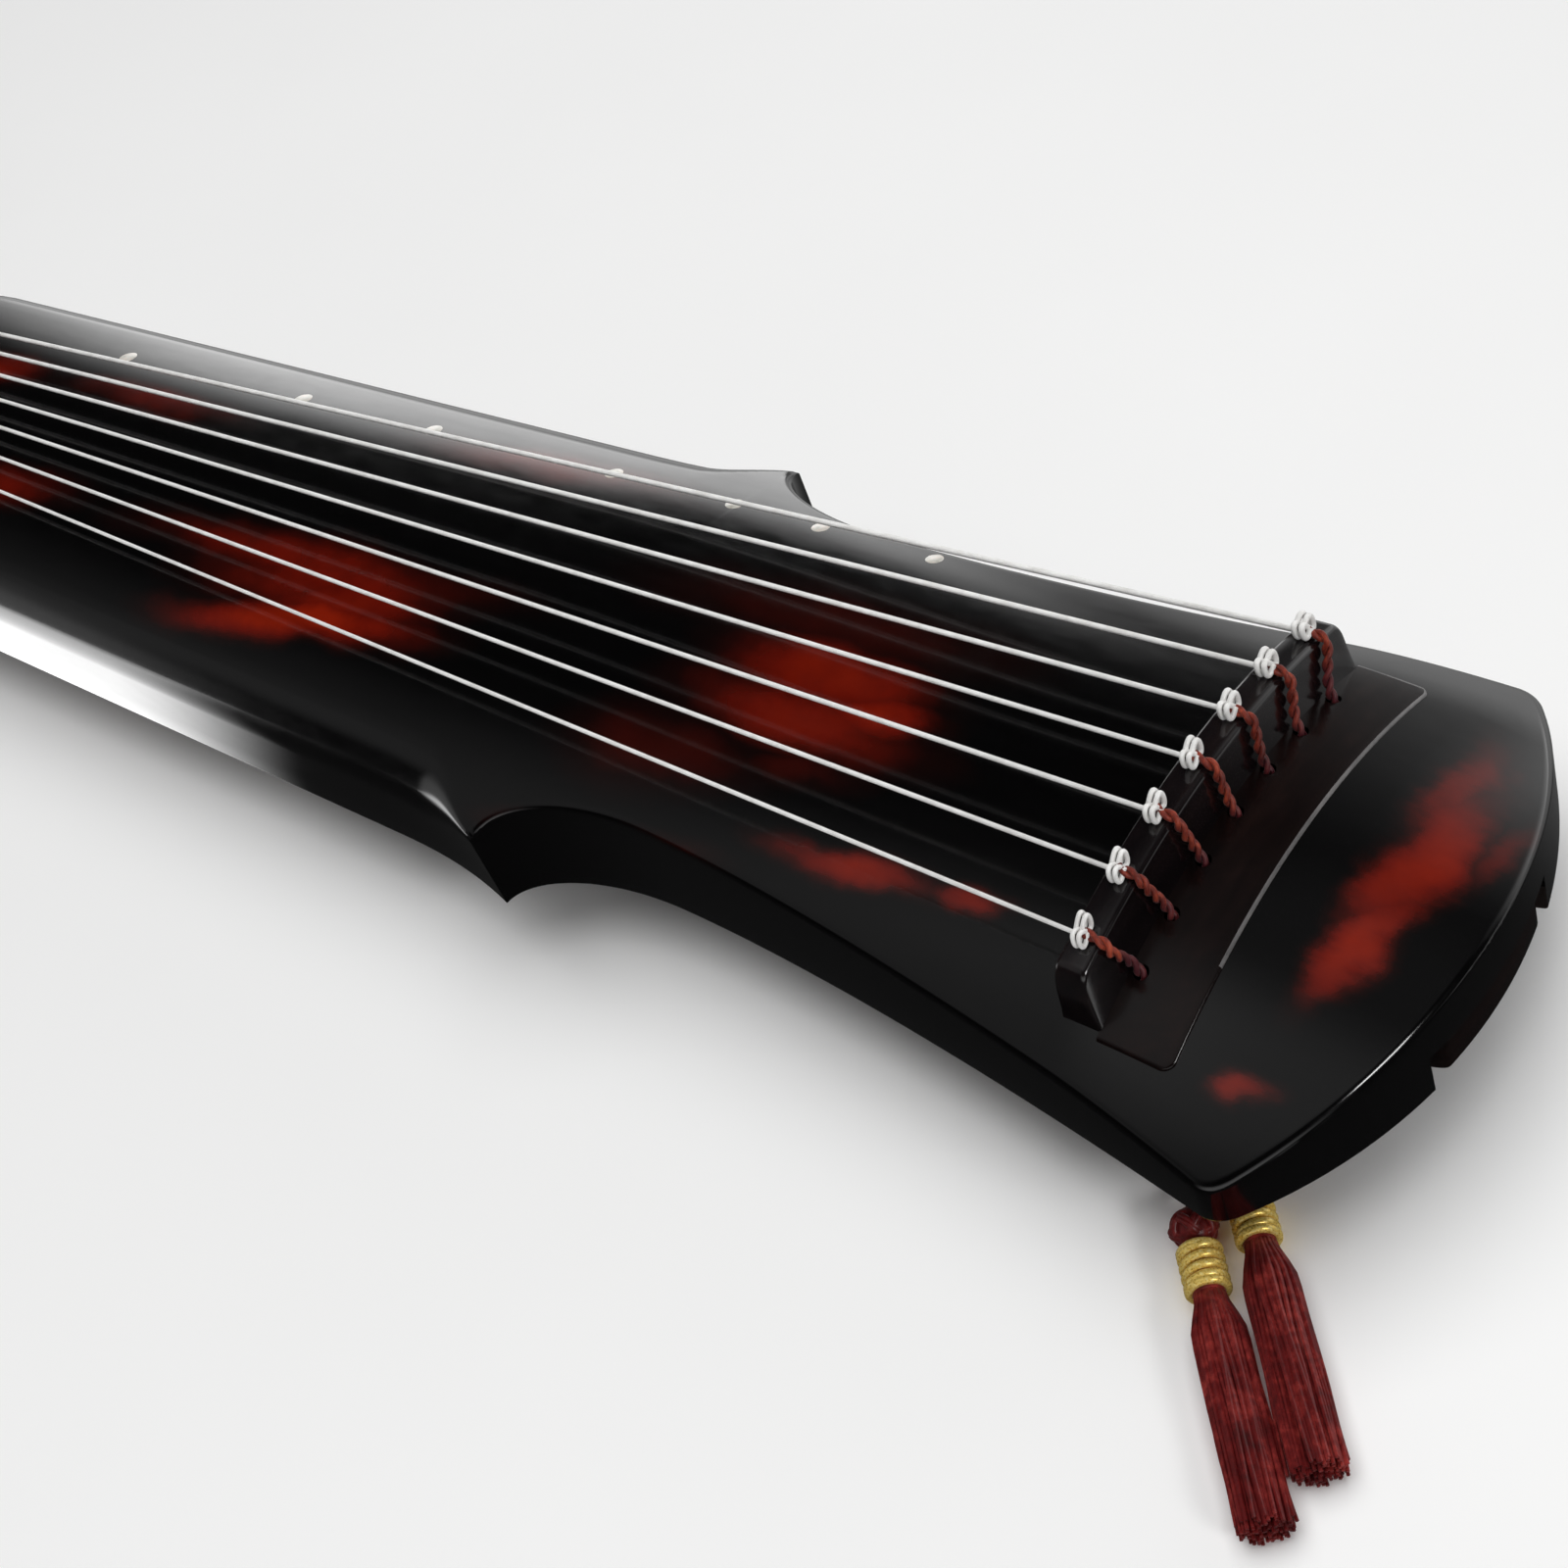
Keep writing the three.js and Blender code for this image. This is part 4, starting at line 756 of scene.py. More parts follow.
def tassels():
    knot_core = [(0.01, -6.2), (4.0, -5.0), (5.4, -2.6), (5.8, 0), (5.4, 2.6), (4.0, 5.0), (0.01, 6.2)]
    neck_core = [
        (0.01, 0), (4.0, 0.2), (4.9, 1.4), (4.9, NECK_LENGTH - 1),
        (4.6, NECK_LENGTH + 0.6), (0.01, NECK_LENGTH + 0.8),
    ]
    neck_margin = 1.4
    for i in range(STRINGS):
        line, head, ahead = cord_line(i)
        points = line[::3]
        if (line[-1] - points[-1]).length > 1e-6:
            points.append(line[-1])
        turn = Matrix(((ahead.x, -ahead.y, 0), (ahead.y, ahead.x, 0), (0, 0, 1)))

        def laid(profile, sides, origin):
            verts, faces = lathed(profile, sides)
            return [tuple(origin + turn @ Vector((z, y, x))) for x, y, z in verts], faces

        center = head + ahead * (KNOT_LENGTH / 2)
        neck_start = head + ahead * (KNOT_LENGTH - 0.4)
        skirt_start = head + ahead * (KNOT_LENGTH + NECK_LENGTH - 1.5)
        cord = curve_of(f"tassel_cord_{i + 1}", points, 2 * CORD_RADIUS, TASSEL_SILK)
        ball = joined([knot_ball(center, ahead, 6.9, 2.1), laid(knot_core, 20, center)])
        knot = build(f"tassel_knot_{i + 1}", *ball, TASSEL_SILK, 60)
        gold = neck_winding(neck_start + ahead * neck_margin, ahead, NECK_LENGTH - 2 * neck_margin, 5.4, 3.2)
        wound = joined([gold, laid(neck_core, 24, neck_start)])
        neck = build(f"tassel_neck_{i + 1}", *wound, [GOLD, TASSEL_SILK], 60)
        for face in neck.data.polygons[len(gold[1]):]:
            face.material_index = 1
        strands = skirt_strands(skirt_start, ahead, 31 + i)
        skirt = build(f"tassel_skirt_{i + 1}", *strands, TASSEL_SILK, 60)
        settle(cord, "root", "tassel", f"tassel_{i + 1}")
        for piece in (knot, neck, skirt):
            settle(piece, "root", "tassel")


tassels()


# The outline and the face of the body

def flare_half(x):
    share = (x - NECK_X) / (HEAD_REACH - NECK_X)
    corner_x = ARC_X + sqrt(END_RADIUS ** 2 - HEAD_HALF ** 2)
    corner = ((corner_x - NECK_X) / (HEAD_REACH - NECK_X)) ** -NECK_POWER - 1
    reach = HEAD_HALF + (HEAD_HALF - NECK_HALF) * corner
    return NECK_HALF + (reach - NECK_HALF) * share ** NECK_POWER


def end_half(x):
    return sqrt(max(END_RADIUS ** 2 - (x - ARC_X) ** 2, 0))


def round_off(distance, radius):
    inside = radius - min(max(distance, 0), radius)
    return radius - sqrt(radius * radius - inside * inside)


def half_width(x):
    if x >= NECK_X:
        a, b = flare_half(x), end_half(x)
        near = max(CORNER_BLEND - abs(a - b), 0) / CORNER_BLEND
        return min(a, b) - near * near * CORNER_BLEND / 4
    if x > SHOULDER_X:
        share = (NECK_X - x) / (NECK_X - SHOULDER_X)
        return NECK_HALF + (SHOULDER_HALF - NECK_HALF) * (1 - sqrt(max(1 - share * share, 0)))
    if x >= WAIST_START_X:
        share = (x - WAIST_START_X) / (SHOULDER_X - WAIST_START_X)
        taper = WAIST_HALF + (BODY_HALF - WAIST_HALF) * share
        flare = max((x - SHOULDER_X) / FLARE_LENGTH + 1, 0)
        return taper + (SHOULDER_HALF - BODY_HALF) * flare ** SHOULDER_POWER
    share = (x - TAIL_X) / (WAIST_START_X - TAIL_X)
    taper = TAIL_HALF + (WAIST_HALF - TAIL_HALF) * share - round_off(x - TAIL_X, TAIL_CORNER)
    along = (WAIST_START_X - x) / WAIST_LENGTH
    return taper - WAIST_DEPTH * (sqrt(max(1 - (2 * along - 1) ** 2, 0)) if along < 1 else 0)


def face_z(x, y):
    if x > 0:
        depth = BRIDGE_DEPTH + (END_DEPTH - BRIDGE_DEPTH) * min(x / HEAD_REACH, 1) ** 1.6
    elif x > LEVEL_X:
        depth = BRIDGE_DEPTH + (BODY_DEPTH - BRIDGE_DEPTH) * smoothstep(-x, 0, -LEVEL_X)
    else:
        share = (LEVEL_X - x) / (LEVEL_X - TAIL_X)
        depth = BODY_DEPTH - TAIL_DROP * share * share
    body = BODY_ARCH * (y / SHOULDER_HALF) ** 2
    head = HEAD_ARCH * (y / HEAD_HALF) ** 2
    return FOOT_HEIGHT + depth - (body + (head - body) * smoothstep(x, LEVEL_X, 0))


def edge_round(x):
    return HEAD_EDGE + (BODY_EDGE - HEAD_EDGE) * smoothstep(SHOULDER_X - x, 0, 34)


def stations():
    q = PI / 2
    tail = [TAIL_X + TAIL_CORNER * (1 - cos(a)) for a in spread(0, q, 14)]
    tail += spread(TAIL_X + 12, WAIST_END_X - 1.5, 30)
    middle = (WAIST_START_X + WAIST_END_X) / 2
    waist = [middle + WAIST_LENGTH / 2 * sin(a) for a in spread(-q, q, 44)]
    body = spread(WAIST_START_X + 1.5, SHOULDER_X - FLARE_LENGTH, 50)
    shoulder = spread(SHOULDER_X - FLARE_LENGTH, SHOULDER_X, 40)[1:]
    neck = [NECK_X - (NECK_X - SHOULDER_X) * sin(a) for a in spread(q, 0, 40)][1:]
    corner_angle = asin(HEAD_HALF / END_RADIUS)
    corner_x = ARC_X + END_RADIUS * cos(corner_angle)
    head = spread(NECK_X, corner_x - CORNER_BLEND, 46)[1:]
    blend = spread(corner_x - CORNER_BLEND, corner_x + 1, 14)[1:]
    ends = [ARC_X + END_RADIUS * cos(a) for a in spread(corner_angle, 0, 70)]
    ends = [x for x in ends if corner_x + 1.2 < x < HEAD_REACH - 0.06]
    return [*tail, *waist, *body, *shoulder, *neck, *head, *blend, *ends, LAST_X]


STATIONS = stations()
outline_points = []
for x0, x1 in zip(STATIONS, STATIONS[1:]):
    a, b = half_width(x0), half_width(x1)
    steps = max(1, int(hypot(x1 - x0, b - a) / 0.25))
    for k in range(steps):
        s = k / steps
        outline_points.append((x0 + (x1 - x0) * s, a + (b - a) * s))
outline_points += [(LAST_X, y) for y in spread(0, half_width(LAST_X), 16)]
outline_points += [(TAIL_X, y) for y in spread(0, half_width(TAIL_X), 300)]


def tree_of(points):
    tree = KDTree(len(points))
    for index, (x, y) in enumerate(points):
        tree.insert((x, y, 0), index)
    tree.balance()
    return tree


OUTLINE_TREE = tree_of(outline_points)


def edge_distance(x, y):
    return OUTLINE_TREE.find((x, abs(y), 0))[2]


OFFSETS = [0, 0.03, 0.12, 0.26, 0.45, 0.7, 1.0, 1.35, 1.7, 2.1, 2.8, 3.7, 4.8, 6.1, 7.6, 9.3, 11.1, 13.2]


def across(half):
    """Places across the body from its edge to its middle, close together where the edge is round."""
    scale = min(1, half * 0.8 / OFFSETS[-1])
    edge = [half - offset * scale for offset in OFFSETS]
    inner = edge[-1]
    return edge + [inner * (1 - k / 14) for k in range(1, 15)]


def top_board():
    rings = []
    for x in STATIONS:
        half = max(half_width(x), 0.3)
        ys = across(half)
        ys = ys + [-y for y in ys[-2::-1]]
        ring = []
        for k, y in enumerate(ys):
            away = 0 if k in (0, len(ys) - 1) else edge_distance(x, y)
            drop = max(round_off(away, edge_round(x)), round_off(x - TAIL_X, 3))
            ring.append((x, y, face_z(x, y) - drop))
        rings.append(ring + [(x, -half, BOARD_TOP), (x, half, BOARD_TOP)])
    board = build("lacquered_top", *lofted(rings), [LACQUER, RAW_WOOD])
    carve(board, [
        hollow_space(),
        tongue_recess(),
        prism(oblong(TAIL_X - CUT_OVERRUN, NUT_SLOT_X, NUT_SLOT_HALF), NUT_SLOT_LOW, 120),
        prism(oblong(TAIL_X - CUT_OVERRUN, GUM_SLOT_X, GUM_SLOT_HALF), CUT_LOW, GUM_SLOT_HIGH),
        loop_holes(CUT_LOW, CUT_HIGH),
    ])
    for face, x, y, z in faces_of(board):
        inside = HOLLOW_TAIL - 0.5 < x < HOLLOW_HEAD + 0.5 and abs(y) < half_width(x) - 10
        face.material_index = 1 if inside and z < face_z(x, y) - 6 else 0
    return settle(board, "root", "lacquer_top", "top_board")


HOLLOW_TAIL, HOLLOW_HEAD, WALL, FACE_THICKNESS = -1062, -34, 13, 10


def hollow_space():
    """The air between the boards, lower over the two pads that face the sound holes."""
    low = BOARD_TOP - 2
    pad_depth, pad_half, pad_overrun, pad_slope = 4, 24, 18, 1.5
    rings = []
    for x in spread(HOLLOW_TAIL, HOLLOW_HEAD, 110):
        half = min(half_width(x + d) for d in spread(-WALL, WALL, 8)) - WALL
        ring = [(x, -half, low)]
        for y in spread(-half, half, 18):
            z = face_z(x, y) - FACE_THICKNESS - round_off(half - abs(y), 4)
            pads = 0
            for start_x, end_x in SOUND_HOLES:
                out = max(start_x - pad_overrun - x, x - end_x - pad_overrun, abs(y) - pad_half)
                pads = max(pads, pad_depth * smoothstep(-out, -pad_slope, pad_slope))
            ring.append((x, y, z - pads))
        ring.append((x, half, low))
        rings.append(ring)
    return lofted(rings)


def tongue_recess():
    angle = asin(RECESS_HALF / END_RADIUS)
    rings = []
    for a in spread(-angle, angle, 48):
        c, s = cos(a), sin(a)
        inner, outer = END_RADIUS - RECESS_DEPTH, END_RADIUS + 6
        rings.append([(ARC_X + r * c, r * s, z) for r, z in (
            (inner, 32), (inner, 50), (inner + 1, 51), (outer, 51), (outer, 32),
        )])
    return lofted(rings)


def bottom_board():
    rings = []
    radius = 1.2
    offsets = [0, 0.05, 0.2, 0.45, 0.8, 1.25, 3]
    for x in STATIONS:
        half = max(half_width(x), 0.3)
        scale = min(1, half * 0.8 / offsets[-1])
        low = []
        for k, offset in enumerate(offsets):
            y = half - offset * scale
            away = 0 if k == 0 else edge_distance(x, y)
            low.append((x, y, FOOT_HEIGHT + round_off(away, radius)))
        inner = [(x, low[-1][1] * s, FOOT_HEIGHT) for s in (0.6, 0.2)]
        one = [(x, half, BOARD_TOP), *low, *inner]
        rings.append(one + [(px, -py, pz) for px, py, pz in reversed(one)])
    board = build("lacquered_bottom", *lofted(rings), [UNDERSIDE, RAW_WOOD, LACQUER])
    pool = rounded(PEG_X - POOL_HALF_LENGTH, PEG_X + POOL_HALF_LENGTH, POOL_HALF_WIDTH, POOL_CORNER, 14)
    holes = [rounded(x0, x1, SOUND_HOLE_HALF, SOUND_HOLE_HALF - 0.1, 14) for x0, x1 in SOUND_HOLES]
    carve(board, [
        *[prism(hole, CUT_LOW, 50) for hole in holes],
        prism(pool, CUT_LOW, POOL_ROOF),
        tongue_recess(),
        prism(oblong(TAIL_X - CUT_OVERRUN, GUM_SLOT_X, GUM_SLOT_HALF), CUT_LOW, CUT_MIDDLE),
        loop_holes(CUT_LOW, CUT_MIDDLE),
    ])
    for face, x, y, z in faces_of(board):
        within = abs(y) < SOUND_HOLE_HALF + 0.3 and FOOT_HEIGHT + 0.2 < z < BOARD_TOP - 0.1
        hole_wall = within and any(x0 - 1 < x < x1 + 1 for x0, x1 in SOUND_HOLES)
        outer_wall = abs(face.normal.z) < 0.6 and edge_distance(x, y) < 0.6
        face.material_index = 1 if hole_wall else 2 if outer_wall else 0
    return settle(board, "root", "lacquer_bottom", "bottom_board")


top_board()
bottom_board()


# The bridge, the plate before it and the tongue in the head's end

def bridge_top_z(y):
    return BEARING_Z - 11.6 * (y / BRIDGE_HALF) ** 2 - 0.95 - SEAT


def bridge():
    q = PI / 2
    level = BRIDGE_HALF - BRIDGE_END
    rings = []
    for y in both_sides(level, BRIDGE_END, 18, 60):
        out = max(abs(y) - level, 0) / BRIDGE_END
        low = face_z(0, y) + 1.5
        top = low + (bridge_top_z(y) - low) * max(1 - out ** 3, 0) ** (1 / 3)
        foot = face_z(0, y) - 3
        ring = [(-2.5, y, foot), (-2.2, y, face_z(0, y) + 0.4)]
        small = min(1.3, (top - low) * 0.6 + 0.2)
        for a in spread(0, q, 6):
            ring.append((-1.5 + small * (1 - cos(a)), y, top - small * (1 - sin(a))))
        large = min(2.0, (top - low) * 0.6 + 0.2)
        for a in spread(0, q, 7):
            ring.append((8.5 - large * (1 - sin(a)), y, top - large * (1 - cos(a))))
        ring.append((10.2, y, face_z(0, y) + 1.2))
        ring.append((10.5, y, foot))
        rings.append(ring)
    settle(build("string_bridge", *lofted(rings), BRIDGE_WOOD, 40), "root", "ebony", "bridge")


def face_strip(x_of, ys, rise, sink, soft):
    """A thin inlay that follows the face: for each y its reach in x, with soft edges."""
    rings = []
    for y, end_away in ys:
        x0, x1 = x_of(y)
        ring = [(x0, y, face_z(x0, y) - sink)]
        xs = spread(x0, x1 - soft, 10) + [x1 - soft + soft * sin(a) for a in spread(0, PI / 2, 6)[1:]]
        for x in xs:
            drop = max(round_off(x1 - x, soft), round_off(end_away, soft))
            ring.append((x, y, face_z(x, y) + rise - drop))
        ring.append((x1, y, face_z(x1, y) - sink))
        rings.append(ring)
    return lofted(rings)


def head_plate():
    level = PLATE_HALF - PLATE_CORNER

    def reach(y):
        inside = max(abs(y) - level, 0)
        return 9.8, PLATE_REACH - PLATE_CORNER + sqrt(max(PLATE_CORNER ** 2 - inside * inside, 0))

    pairs = [(y, PLATE_HALF - abs(y)) for y in both_sides(level, PLATE_CORNER, 22, 64)]
    plate = build("bridge_plate", *face_strip(reach, pairs, 0.9, 3, 0.9), [EBONY, PLATE_HIGHLIGHT], 50)
    carve(plate, [loop_holes(CUT_MIDDLE, CUT_HIGH)], 50)
    for face, x, y, z in faces_of(plate):
        outer = reach(y)[1]
        # Painted highlight: the top faces along the plate's front edge and along its far end take the lighter
        # grey.
        front = outer - 1.15 < x < outer - 0.02 and y > -45
        edge_highlight = front or PLATE_HALF - 1.1 < y < PLATE_HALF - 0.05 and x < outer
        face.material_index = 1 if edge_highlight and z > face_z(x, y) - 0.4 else 0
    settle(plate, "root", "ebony", "head_plate")


def tongue():
    angle = asin(RECESS_HALF / END_RADIUS) - 1.2 / END_RADIUS
    inner = END_RADIUS - RECESS_DEPTH + SEAT
    low, high = 36.8, 49.8
    rings = []
    for share in spread(-1, 1, 96):
        full = 1 - smoothstep(abs(share), 0.8, 1)
        outer = inner + SEAT + (RECESS_DEPTH - 1.4) * full
        soft = min(2.2, (outer - inner) * 0.45)
        a = angle * share
        section = [(inner, low)]
        for height, turn in ((low + soft, -PI / 2), (high - soft, 0)):
            for t in spread(turn, turn + PI / 2, 7):
                section.append((outer - soft + soft * cos(t), height + soft * sin(t)))
        section += [(inner, high)]
        rings.append([(ARC_X + r * cos(a), r * sin(a), z) for r, z in section])
    settle(build("end_tongue", *lofted(rings), EBONY, 40), "root", "ebony", "head_tongue")


bridge()
head_plate()
tongue()


# The tail: the nut over its edge, the lower gum and the two crown horns

def nut_top_z(y):
    return face_z(-STRING_LENGTH, 0) + 0.8 - 0.4 * (y / NUT_HALF) ** 2


def nut():
    foot, bend = face_z(TAIL_X, 0) - 21, NUT_BEND
    rings = []
    for y in both_sides(NUT_HALF - 1, 1, 5, 24):
        top = nut_top_z(y)
        soft = round_off(NUT_HALF - abs(y), 1)
        ring = [
            (TAIL_X + 16, y, foot),
            (TAIL_X + 16, y, top - 0.8 - soft),
            (-STRING_LENGTH + 1.5, y, top - 0.1 - soft),
            (-STRING_LENGTH, y, top - soft),
        ]
        for a in spread(0, PI / 2, 12):
            x = TAIL_X + bend - (bend - soft) * sin(a)
            ring.append((x, y, top - bend * (1 - cos(a)) - soft * cos(a)))
        ring.append((TAIL_X + soft, y, foot))
        rings.append(ring)
    settle(build("tail_nut", *lofted(rings), EBONY, 40), "root", "ebony", "nut")


def lower_gum():
    low, reach, bend = FOOT_HEIGHT - SEAT, 14, GUM_BEND
    rings = []
    for y in both_sides(GUM_HALF - 1, 1, 5, 10):
        soft = round_off(GUM_HALF - abs(y), 1)
        ring = [(TAIL_X + soft, y, low + reach)]
        for a in spread(0, PI / 2, 10):
            x = TAIL_X + bend - (bend - soft) * cos(a)
            ring.append((x, y, low + bend - (bend - soft) * sin(a)))
        ring += [(TAIL_X + reach, y, low + soft), (TAIL_X + reach, y, low + reach)]
        rings.append(ring)
    settle(build("tail_gum", *lofted(rings), EBONY, 40), "root", "ebony", "lower_gum")


def horn(name, sign):
    """A crown horn: straight beside the nut, then drawn out to the side in two bends."""
    inner, outer, waist, reach = 27.6, 57, TAIL_X + 25, TAIL_X + 50
    middle, half_way = (inner + outer) / 2, (waist + reach) / 2
    edge = [(x, inner) for x in spread(TAIL_X + 0.3, waist, 14)]
    for t in spread(0, 1, 16)[1:]:
        edge.append(bezier((waist, inner), (waist, middle), (half_way, middle), t))
    for t in spread(0, 1, 16)[1:-1]:
        edge.append(bezier((half_way, middle), (reach, middle), (reach, outer), t))
    tree = tree_of(edge)
    offsets = [0, 0.06, 0.2, 0.4, 0.65, 0.9, 1.3]
    rings = []
    for x, y0 in edge:
        scale = min(1, (outer - y0) * 0.4 / offsets[-1])
        ys = [y0 + offset * scale for offset in offsets]
        ys += spread(ys[-1], outer - offsets[-1] * scale, 8)[1:-1]
        ys += [outer - offset * scale for offset in reversed(offsets)]
        ring = [(x, sign * y0, face_z(x, y0) - 3)]
        for y in ys:
            away = 0 if y == y0 else min(tree.find((x, y, 0))[2], outer - y, x - TAIL_X + 0.2)
            ring.append((x, sign * y, face_z(x, y) + 1 - round_off(away, 0.9)))
        ring.append((x, sign * outer, face_z(x, outer) - 3))
        rings.append(ring)
    settle(build(f"crown_{name}", *lofted(rings), EBONY, 50), "root", "ebony", f"horn_{name}")


nut()
lower_gum()
horn("far", 1)
horn("near", -1)


# Pegs, guards, feet, pillars and studs

def pegs():
    length = PEG_TOP - PEG_CLEAR

    def place(share):
        return PEG_TOP - length * share

    collar = [(0, 6.5), (0.012, 6.9), (0.03, 7), (0.09, 7), (0.105, 6.8), (0.14, 6.0)]
    waist = [(0.2, 4.9), (0.25, 4.75), (0.3, 4.75), (0.34, 4.9), (0.375, 6.2)]
    handle = [(0.41, 7.6), (0.44, 8.1), (0.47, 8.2), (0.6, 8.2), (0.68, 8.15)]
    foot = [(0.8, 7.5), (0.9, 6.8), (0.96, 6.3), (0.985, 5.9), (1.0, 5.2)]
    outer = [(radius, place(share)) for share, radius in collar + waist + handle + foot]
    bore, cord_hole, step = 2.3, 1.55, PEG_TOP - 20
    profile = [
        (cord_hole, place(1.0)), *reversed(outer), (bore + 0.3, PEG_TOP), (bore, PEG_TOP - 0.3),
        (bore, step), (cord_hole, step), (cord_hole, place(1.0)),
    ]
    handle_top = place(0.36)

    def fluted(r, z, a):
        if r < 3 or z > handle_top:
            return r
        share = smoothstep(handle_top - z, 0, 3.5)
        return r - 0.9 * share * (0.5 + 0.5 * cos(6 * a)) ** 2 * min(1, (r - 3) / 3)

    for i in range(STRINGS):
        body = f"peg_{i + 1}"
        turned = lathed(profile, 96, PEG_X, peg_y(i), fluted)
        settle(build(f"turned_{body}", *turned, PEG_WOOD, 42), body, "peg_wood", body)


def guards():
    foot, top, flare, length, tenon_half = 9.5, 35.7, 12.5, 8.5, 2
    slope = [bezier((foot, 0), (foot, 18), (flare, top), t) for t in spread(0, 1, 10)[1:]]
    side = [(-foot, 0), (foot, 0)] + slope + [(-x, z) for x, z in reversed(slope)]
    tenon = oblong(PEG_X - length, PEG_X + length, tenon_half)
    for name, middle in (("far", 70), ("near", -70)):
        rings = []
        for y, inset in ((-4, 1.2), (-3.65, 0.35), (-2.8, 0), (2.8, 0), (3.65, 0.35), (4, 1.2)):
            ring = []
            for x, z in side:
                low = z + inset * 0.8 if z < 1 else z
                ring.append((PEG_X + x - copysign(inset, x), middle + y, low if z < 35 else top))
            rings.append(ring)
        tenon_part = prism([(x, middle + y) for x, y in tenon], 33, BOARD_TOP - 0.6)
        guard = build(f"peg_guard_{name}", *joined([lofted(rings), tenon_part]), PEG_WOOD, 28)
        settle(guard, "root", "peg_wood", f"guard_{name}")


def feet():
    base = [(0.001, 0), (11.6, 0), (12.3, 0.4), (12.5, 1.1), (12.5, 2.7), (12.1, 3.4), (10.6, 4.4)]
    stem = [(9.3, 5.6), (8.7, 7), (FOOT_STEM, 9), (FOOT_STEM, 32), (8.7, 33)]
    top = [(9.6, 33.5), (10.7, 33.9), (11, 34.5), (11, 35.7), (7, 35.7), (7, 45.4), (0.001, 45.4)]
    for name, y in (("far", FOOT_Y), ("near", -FOOT_Y)):
        turned = lathed(base + stem + top, 72, FOOT_X, y)
        settle(build(f"goose_foot_{name}", *turned, PEG_WOOD, 40), "root", "peg_wood", f"foot_{name}")


def studs():
    shares = [1 / 8, 1 / 6, 1 / 5, 1 / 4, 1 / 3, 2 / 5, 1 / 2]
    shares += [1 - s for s in reversed(shares[:-1])]
    from_string, least, growth, crown = 10.1, 6, 2.4, 0.24
    for k, share in enumerate(shares):
        x = -STRING_LENGTH * share
        y = bridge_y(0) + (nut_y(0) - bridge_y(0)) * share + from_string
        radius = (least + growth * (1 - abs(share - 0.5) / 0.5)) / 2
        tilt = -atan2(face_z(x, y) - face_z(x, y + 2 * radius), 2 * radius)
        dome = [(radius * s, crown * (1 - s ** 2.2)) for s in (0.3, 0.55, 0.75, 0.88, 0.95)]
        profile = [(0.001, crown), *dome, (radius, -0.12), (radius, -1.2), (0.001, -1.2)]
        verts, faces = lathed(profile, 40)
        c, s = cos(tilt), sin(tilt)
        verts = [(x + px, y + py * c - pz * s, face_z(x, y) + py * s + pz * c) for px, py, pz in verts]
        name = f"stud_{k + 1}"
        settle(build(f"shell_{name}", verts, faces, PEARL, 40), "root", "shell", name)


pegs()
guards()
feet()
studs()
for name, look in (("pillar_round", RAW_WOOD), ("pillar_square", RAW_WOOD), ("peg_plate", EBONY)):
    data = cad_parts[name].data
    data.materials.clear()
    data.materials.append(look)


# The strings: a double bow knot on the bridge, the run to the nut, round the tail and on to a foot

def string_points(i):
    radius = DIAMETERS[i] / 2
    pitch = DIAMETERS[i] + 0.45
    y = bridge_y(i)
    knot_half, knot_rise = 4.0, 2.5
    points = []
    for share in spread(1, 0, 96):
        angle = 2 * PI * 2 * share
        grow = 1 - 0.10 * share
        py = y + knot_half * grow * sin(angle)
        rise = SEAT + radius + knot_rise + knot_rise * grow * sin(2 * angle)
        points.append((1.4 + 2 * pitch * share, py, bridge_top_z(py) + rise))
    bearing = bridge_top_z(y) + SEAT + radius
    points.append((0.7, y, bearing + knot_rise / 3))
    ny = nut_y(i)
    for s in spread(0, 1, 12):
        z = bearing + (nut_top_z(ny) + SEAT + radius - bearing) * s
        points.append((-STRING_LENGTH * s, y + (ny - y) * s, z))
    over, under = NUT_BEND + radius + SEAT, GUM_BEND + radius + SEAT
    high, low = nut_top_z(ny) - NUT_BEND, FOOT_HEIGHT - SEAT + GUM_BEND
    quarter = spread(0, PI / 2, 10)
    points += [(TAIL_X + NUT_BEND - over * sin(a), ny, high + over * cos(a)) for a in quarter]
    points += [(TAIL_X + GUM_BEND - under * cos(a), ny, low - under * sin(a)) for a in quarter]
    far_strings = 4
    first, sign = (0, 1) if i < far_strings else (far_strings, -1)
    top = FOOT_HEIGHT - SEAT - 2.2 - (DIAMETERS[first] + 0.45) / 2
    for k in range(first, i):
        top -= (DIAMETERS[k] + 0.45) * 3
    reach = FOOT_STEM + radius + SEAT
    to_start = Vector((TAIL_X + GUM_BEND - FOOT_X, ny - sign * FOOT_Y))
    angle = atan2(to_start.y, to_start.x) + sign * acos(reach / to_start.length)
    for turns in spread(0, 2.5, 80):
        a = angle + sign * 2 * PI * turns
        points.append((FOOT_X + reach * cos(a), sign * FOOT_Y + reach * sin(a), top - pitch * turns))
    return points


for i in range(STRINGS):
    line = curve_of(f"silk_string_{i + 1}", string_points(i), DIAMETERS[i], STRING_WHITE)
    settle(line, "root", "string", f"string_{i + 1}")


# The loops: two strands of red silk twisted together, from the knot over the bridge into the peg

def loop_line(i):
    y = bridge_y(i)
    top = bridge_top_z(y)
    radius, corner = 1.6, 1.5
    reach = corner + radius + SEAT
    corner_x, corner_z = 7.0, top - corner
    points = [(3.2, y, top + 3.4), (4.6, y, top + 2.6)]
    for a in spread(0, PI / 2, 4)[1:]:
        points.append((corner_x + reach * sin(a), y, corner_z + reach * cos(a)))
    hole = peg_y(i)
    face = face_z(0, hole)
    points.append((10.5 + radius, y + (hole - y) * 0.9, face + 4.1))
    for z in (face - radius, (face + BOARD_TOP) / 2, BOARD_TOP, PEG_TOP - 9):
        points.append((PEG_X, hole, z))
    return catmull(points, 10)


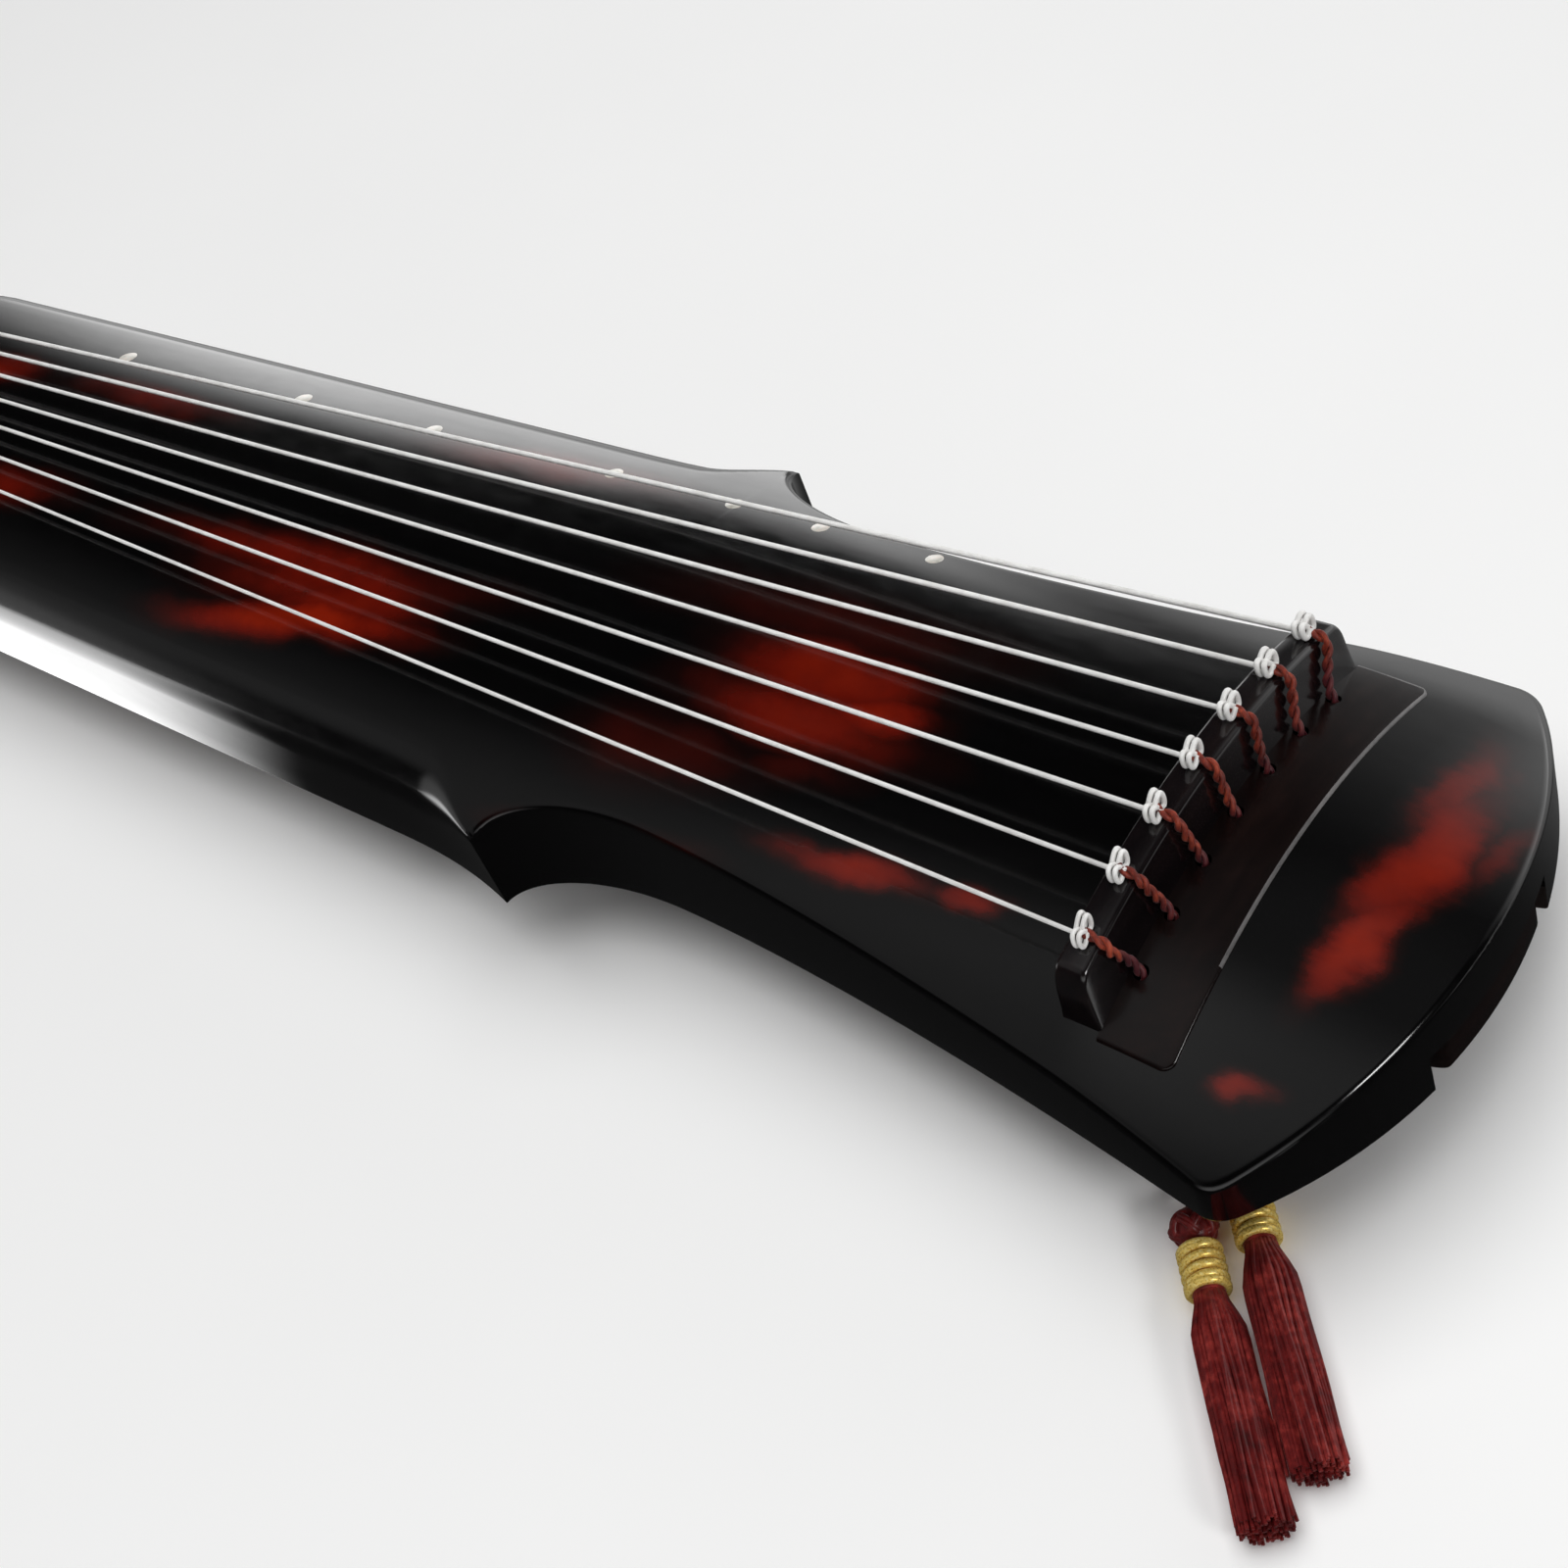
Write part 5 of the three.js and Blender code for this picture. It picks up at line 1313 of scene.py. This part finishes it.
for i in range(STRINGS):
    rope = plied(loop_line(i), offset=0.84, radius=0.86, pitch=9.6, plies=2, sides=10, phase=0.9 * i)
    settle(build(f"twisted_loop_{i + 1}", *rope, LOOP_SILK, 70), "root", "silk_loop", f"silk_loop_{i + 1}")


# The room: a pale floor, pale walls all round and a dark ceiling, with soft lamps

FLOOR_HALF = 9
floor_mesh = bpy.data.meshes.new("floor")
corners = [(x * FLOOR_HALF, y * FLOOR_HALF, 0) for x, y in ((-1, -1), (1, -1), (1, 1), (-1, 1))]
floor_mesh.from_pydata(corners, [], [(0, 1, 2, 3)])
floor_mesh.materials.append(FLOOR)
floor = bpy.data.objects.new("floor", floor_mesh)
scene.collection.objects.link(floor)

world = bpy.data.worlds.new("room")
scene.world = world
world.use_nodes = True
tree = world.node_tree
east, north, up = split(tree, node(tree, "TexCoord").outputs["Generated"])
bearing = maths(tree, "ARCTAN2", north, east)


def bearings(low, high):
    return bearing, radians(low), radians(high)


PANES = [
    # Brightness, then for each side a reading, where along it the pane ends and where it is full
    (2.5, bearings(117.5, 127), bearings(153, 141), (up, 0.38, 0.26), (up, -0.5, -0.2)),
    (0.6, bearings(60, 85), bearings(132, 122), (up, 0.24, 0.10), (up, -0.3, -0.1)),
    (1.1, bearings(30, 60), bearings(101, 90), (up, 0.87, 0.12), (up, -0.3, -0.1)),
    (0.38, bearings(30, 60), bearings(125, 100), (up, 1.0, 0.1), (up, -0.3, -0.1)),
    (0.5, (east, -0.75, -0.82), (north, -0.12, -0.28), (up, 0.62, 0.2)),
    (0.17, (east, 0.1, -0.4), (north, 0.12, -0.16), (up, 0.35, 0.6)),
    (0.9, (east, -0.3, 0.2), (north, -0.3, -0.7), (up, 0.5, 0.2), (up, -0.1, 0.05)),
]
overhead = product(tree, spans(tree, up, 0.82, 0.97, 0, 0.26), spans(tree, north, 0.14, -0.12, 0.3, 1))
glow = maths(tree, "ADD", overhead, 0.006)
for bright, *sides in PANES:
    for value, low, high in sides:
        bright = product(tree, spans(tree, value, low, high, 0, 1), bright)
    glow = maths(tree, "ADD", glow, bright)
rays = node(tree, "LightPath").outputs
pale_wall = product(tree, spans(tree, up, 0.02, 0.12, 1, 0), spans(tree, north, 0.5, 0.8, 0, 1))
mirrored = product(tree, rays["Is Glossy Ray"], pale_wall)
looked_at = maths(tree, "ADD", rays["Is Camera Ray"], rays["Is Transmission Ray"])
seen = maths(tree, "ADD", looked_at, mirrored, clamp=True)
light = node(tree, "Mix", {0: seen, 2: glow, 3: WHITE}, data_type="FLOAT").outputs[0]
tree.links.new(light, tree.nodes["Background"].inputs["Color"])


def lamp(name, place, target, width, height, power, glossy):
    data = bpy.data.lights.new(name, "AREA")
    data.shape = "RECTANGLE"
    data.size, data.size_y = width, height
    data.energy = power
    made = bpy.data.objects.new(name, data)
    made.location = place
    made.rotation_euler = (Vector(target) - Vector(place)).to_track_quat("-Z", "Y").to_euler()
    made.visible_glossy = glossy
    made.visible_camera = False
    scene.collection.objects.link(made)


lamp("overhead", (0.2, 0.1, 2.6), (0.1, 0, 0), 3.4, 2.6, 66.5, glossy=False)
lamp("front", (2.1, -0.35, 0.95), (0.5, 0, 0.06), 0.55, 0.3, 9, glossy=True)
lamp("underneath", (0.1, 0, -1.9), (0.1, 0, 0), 2.8, 1.6, 34, glossy=False)
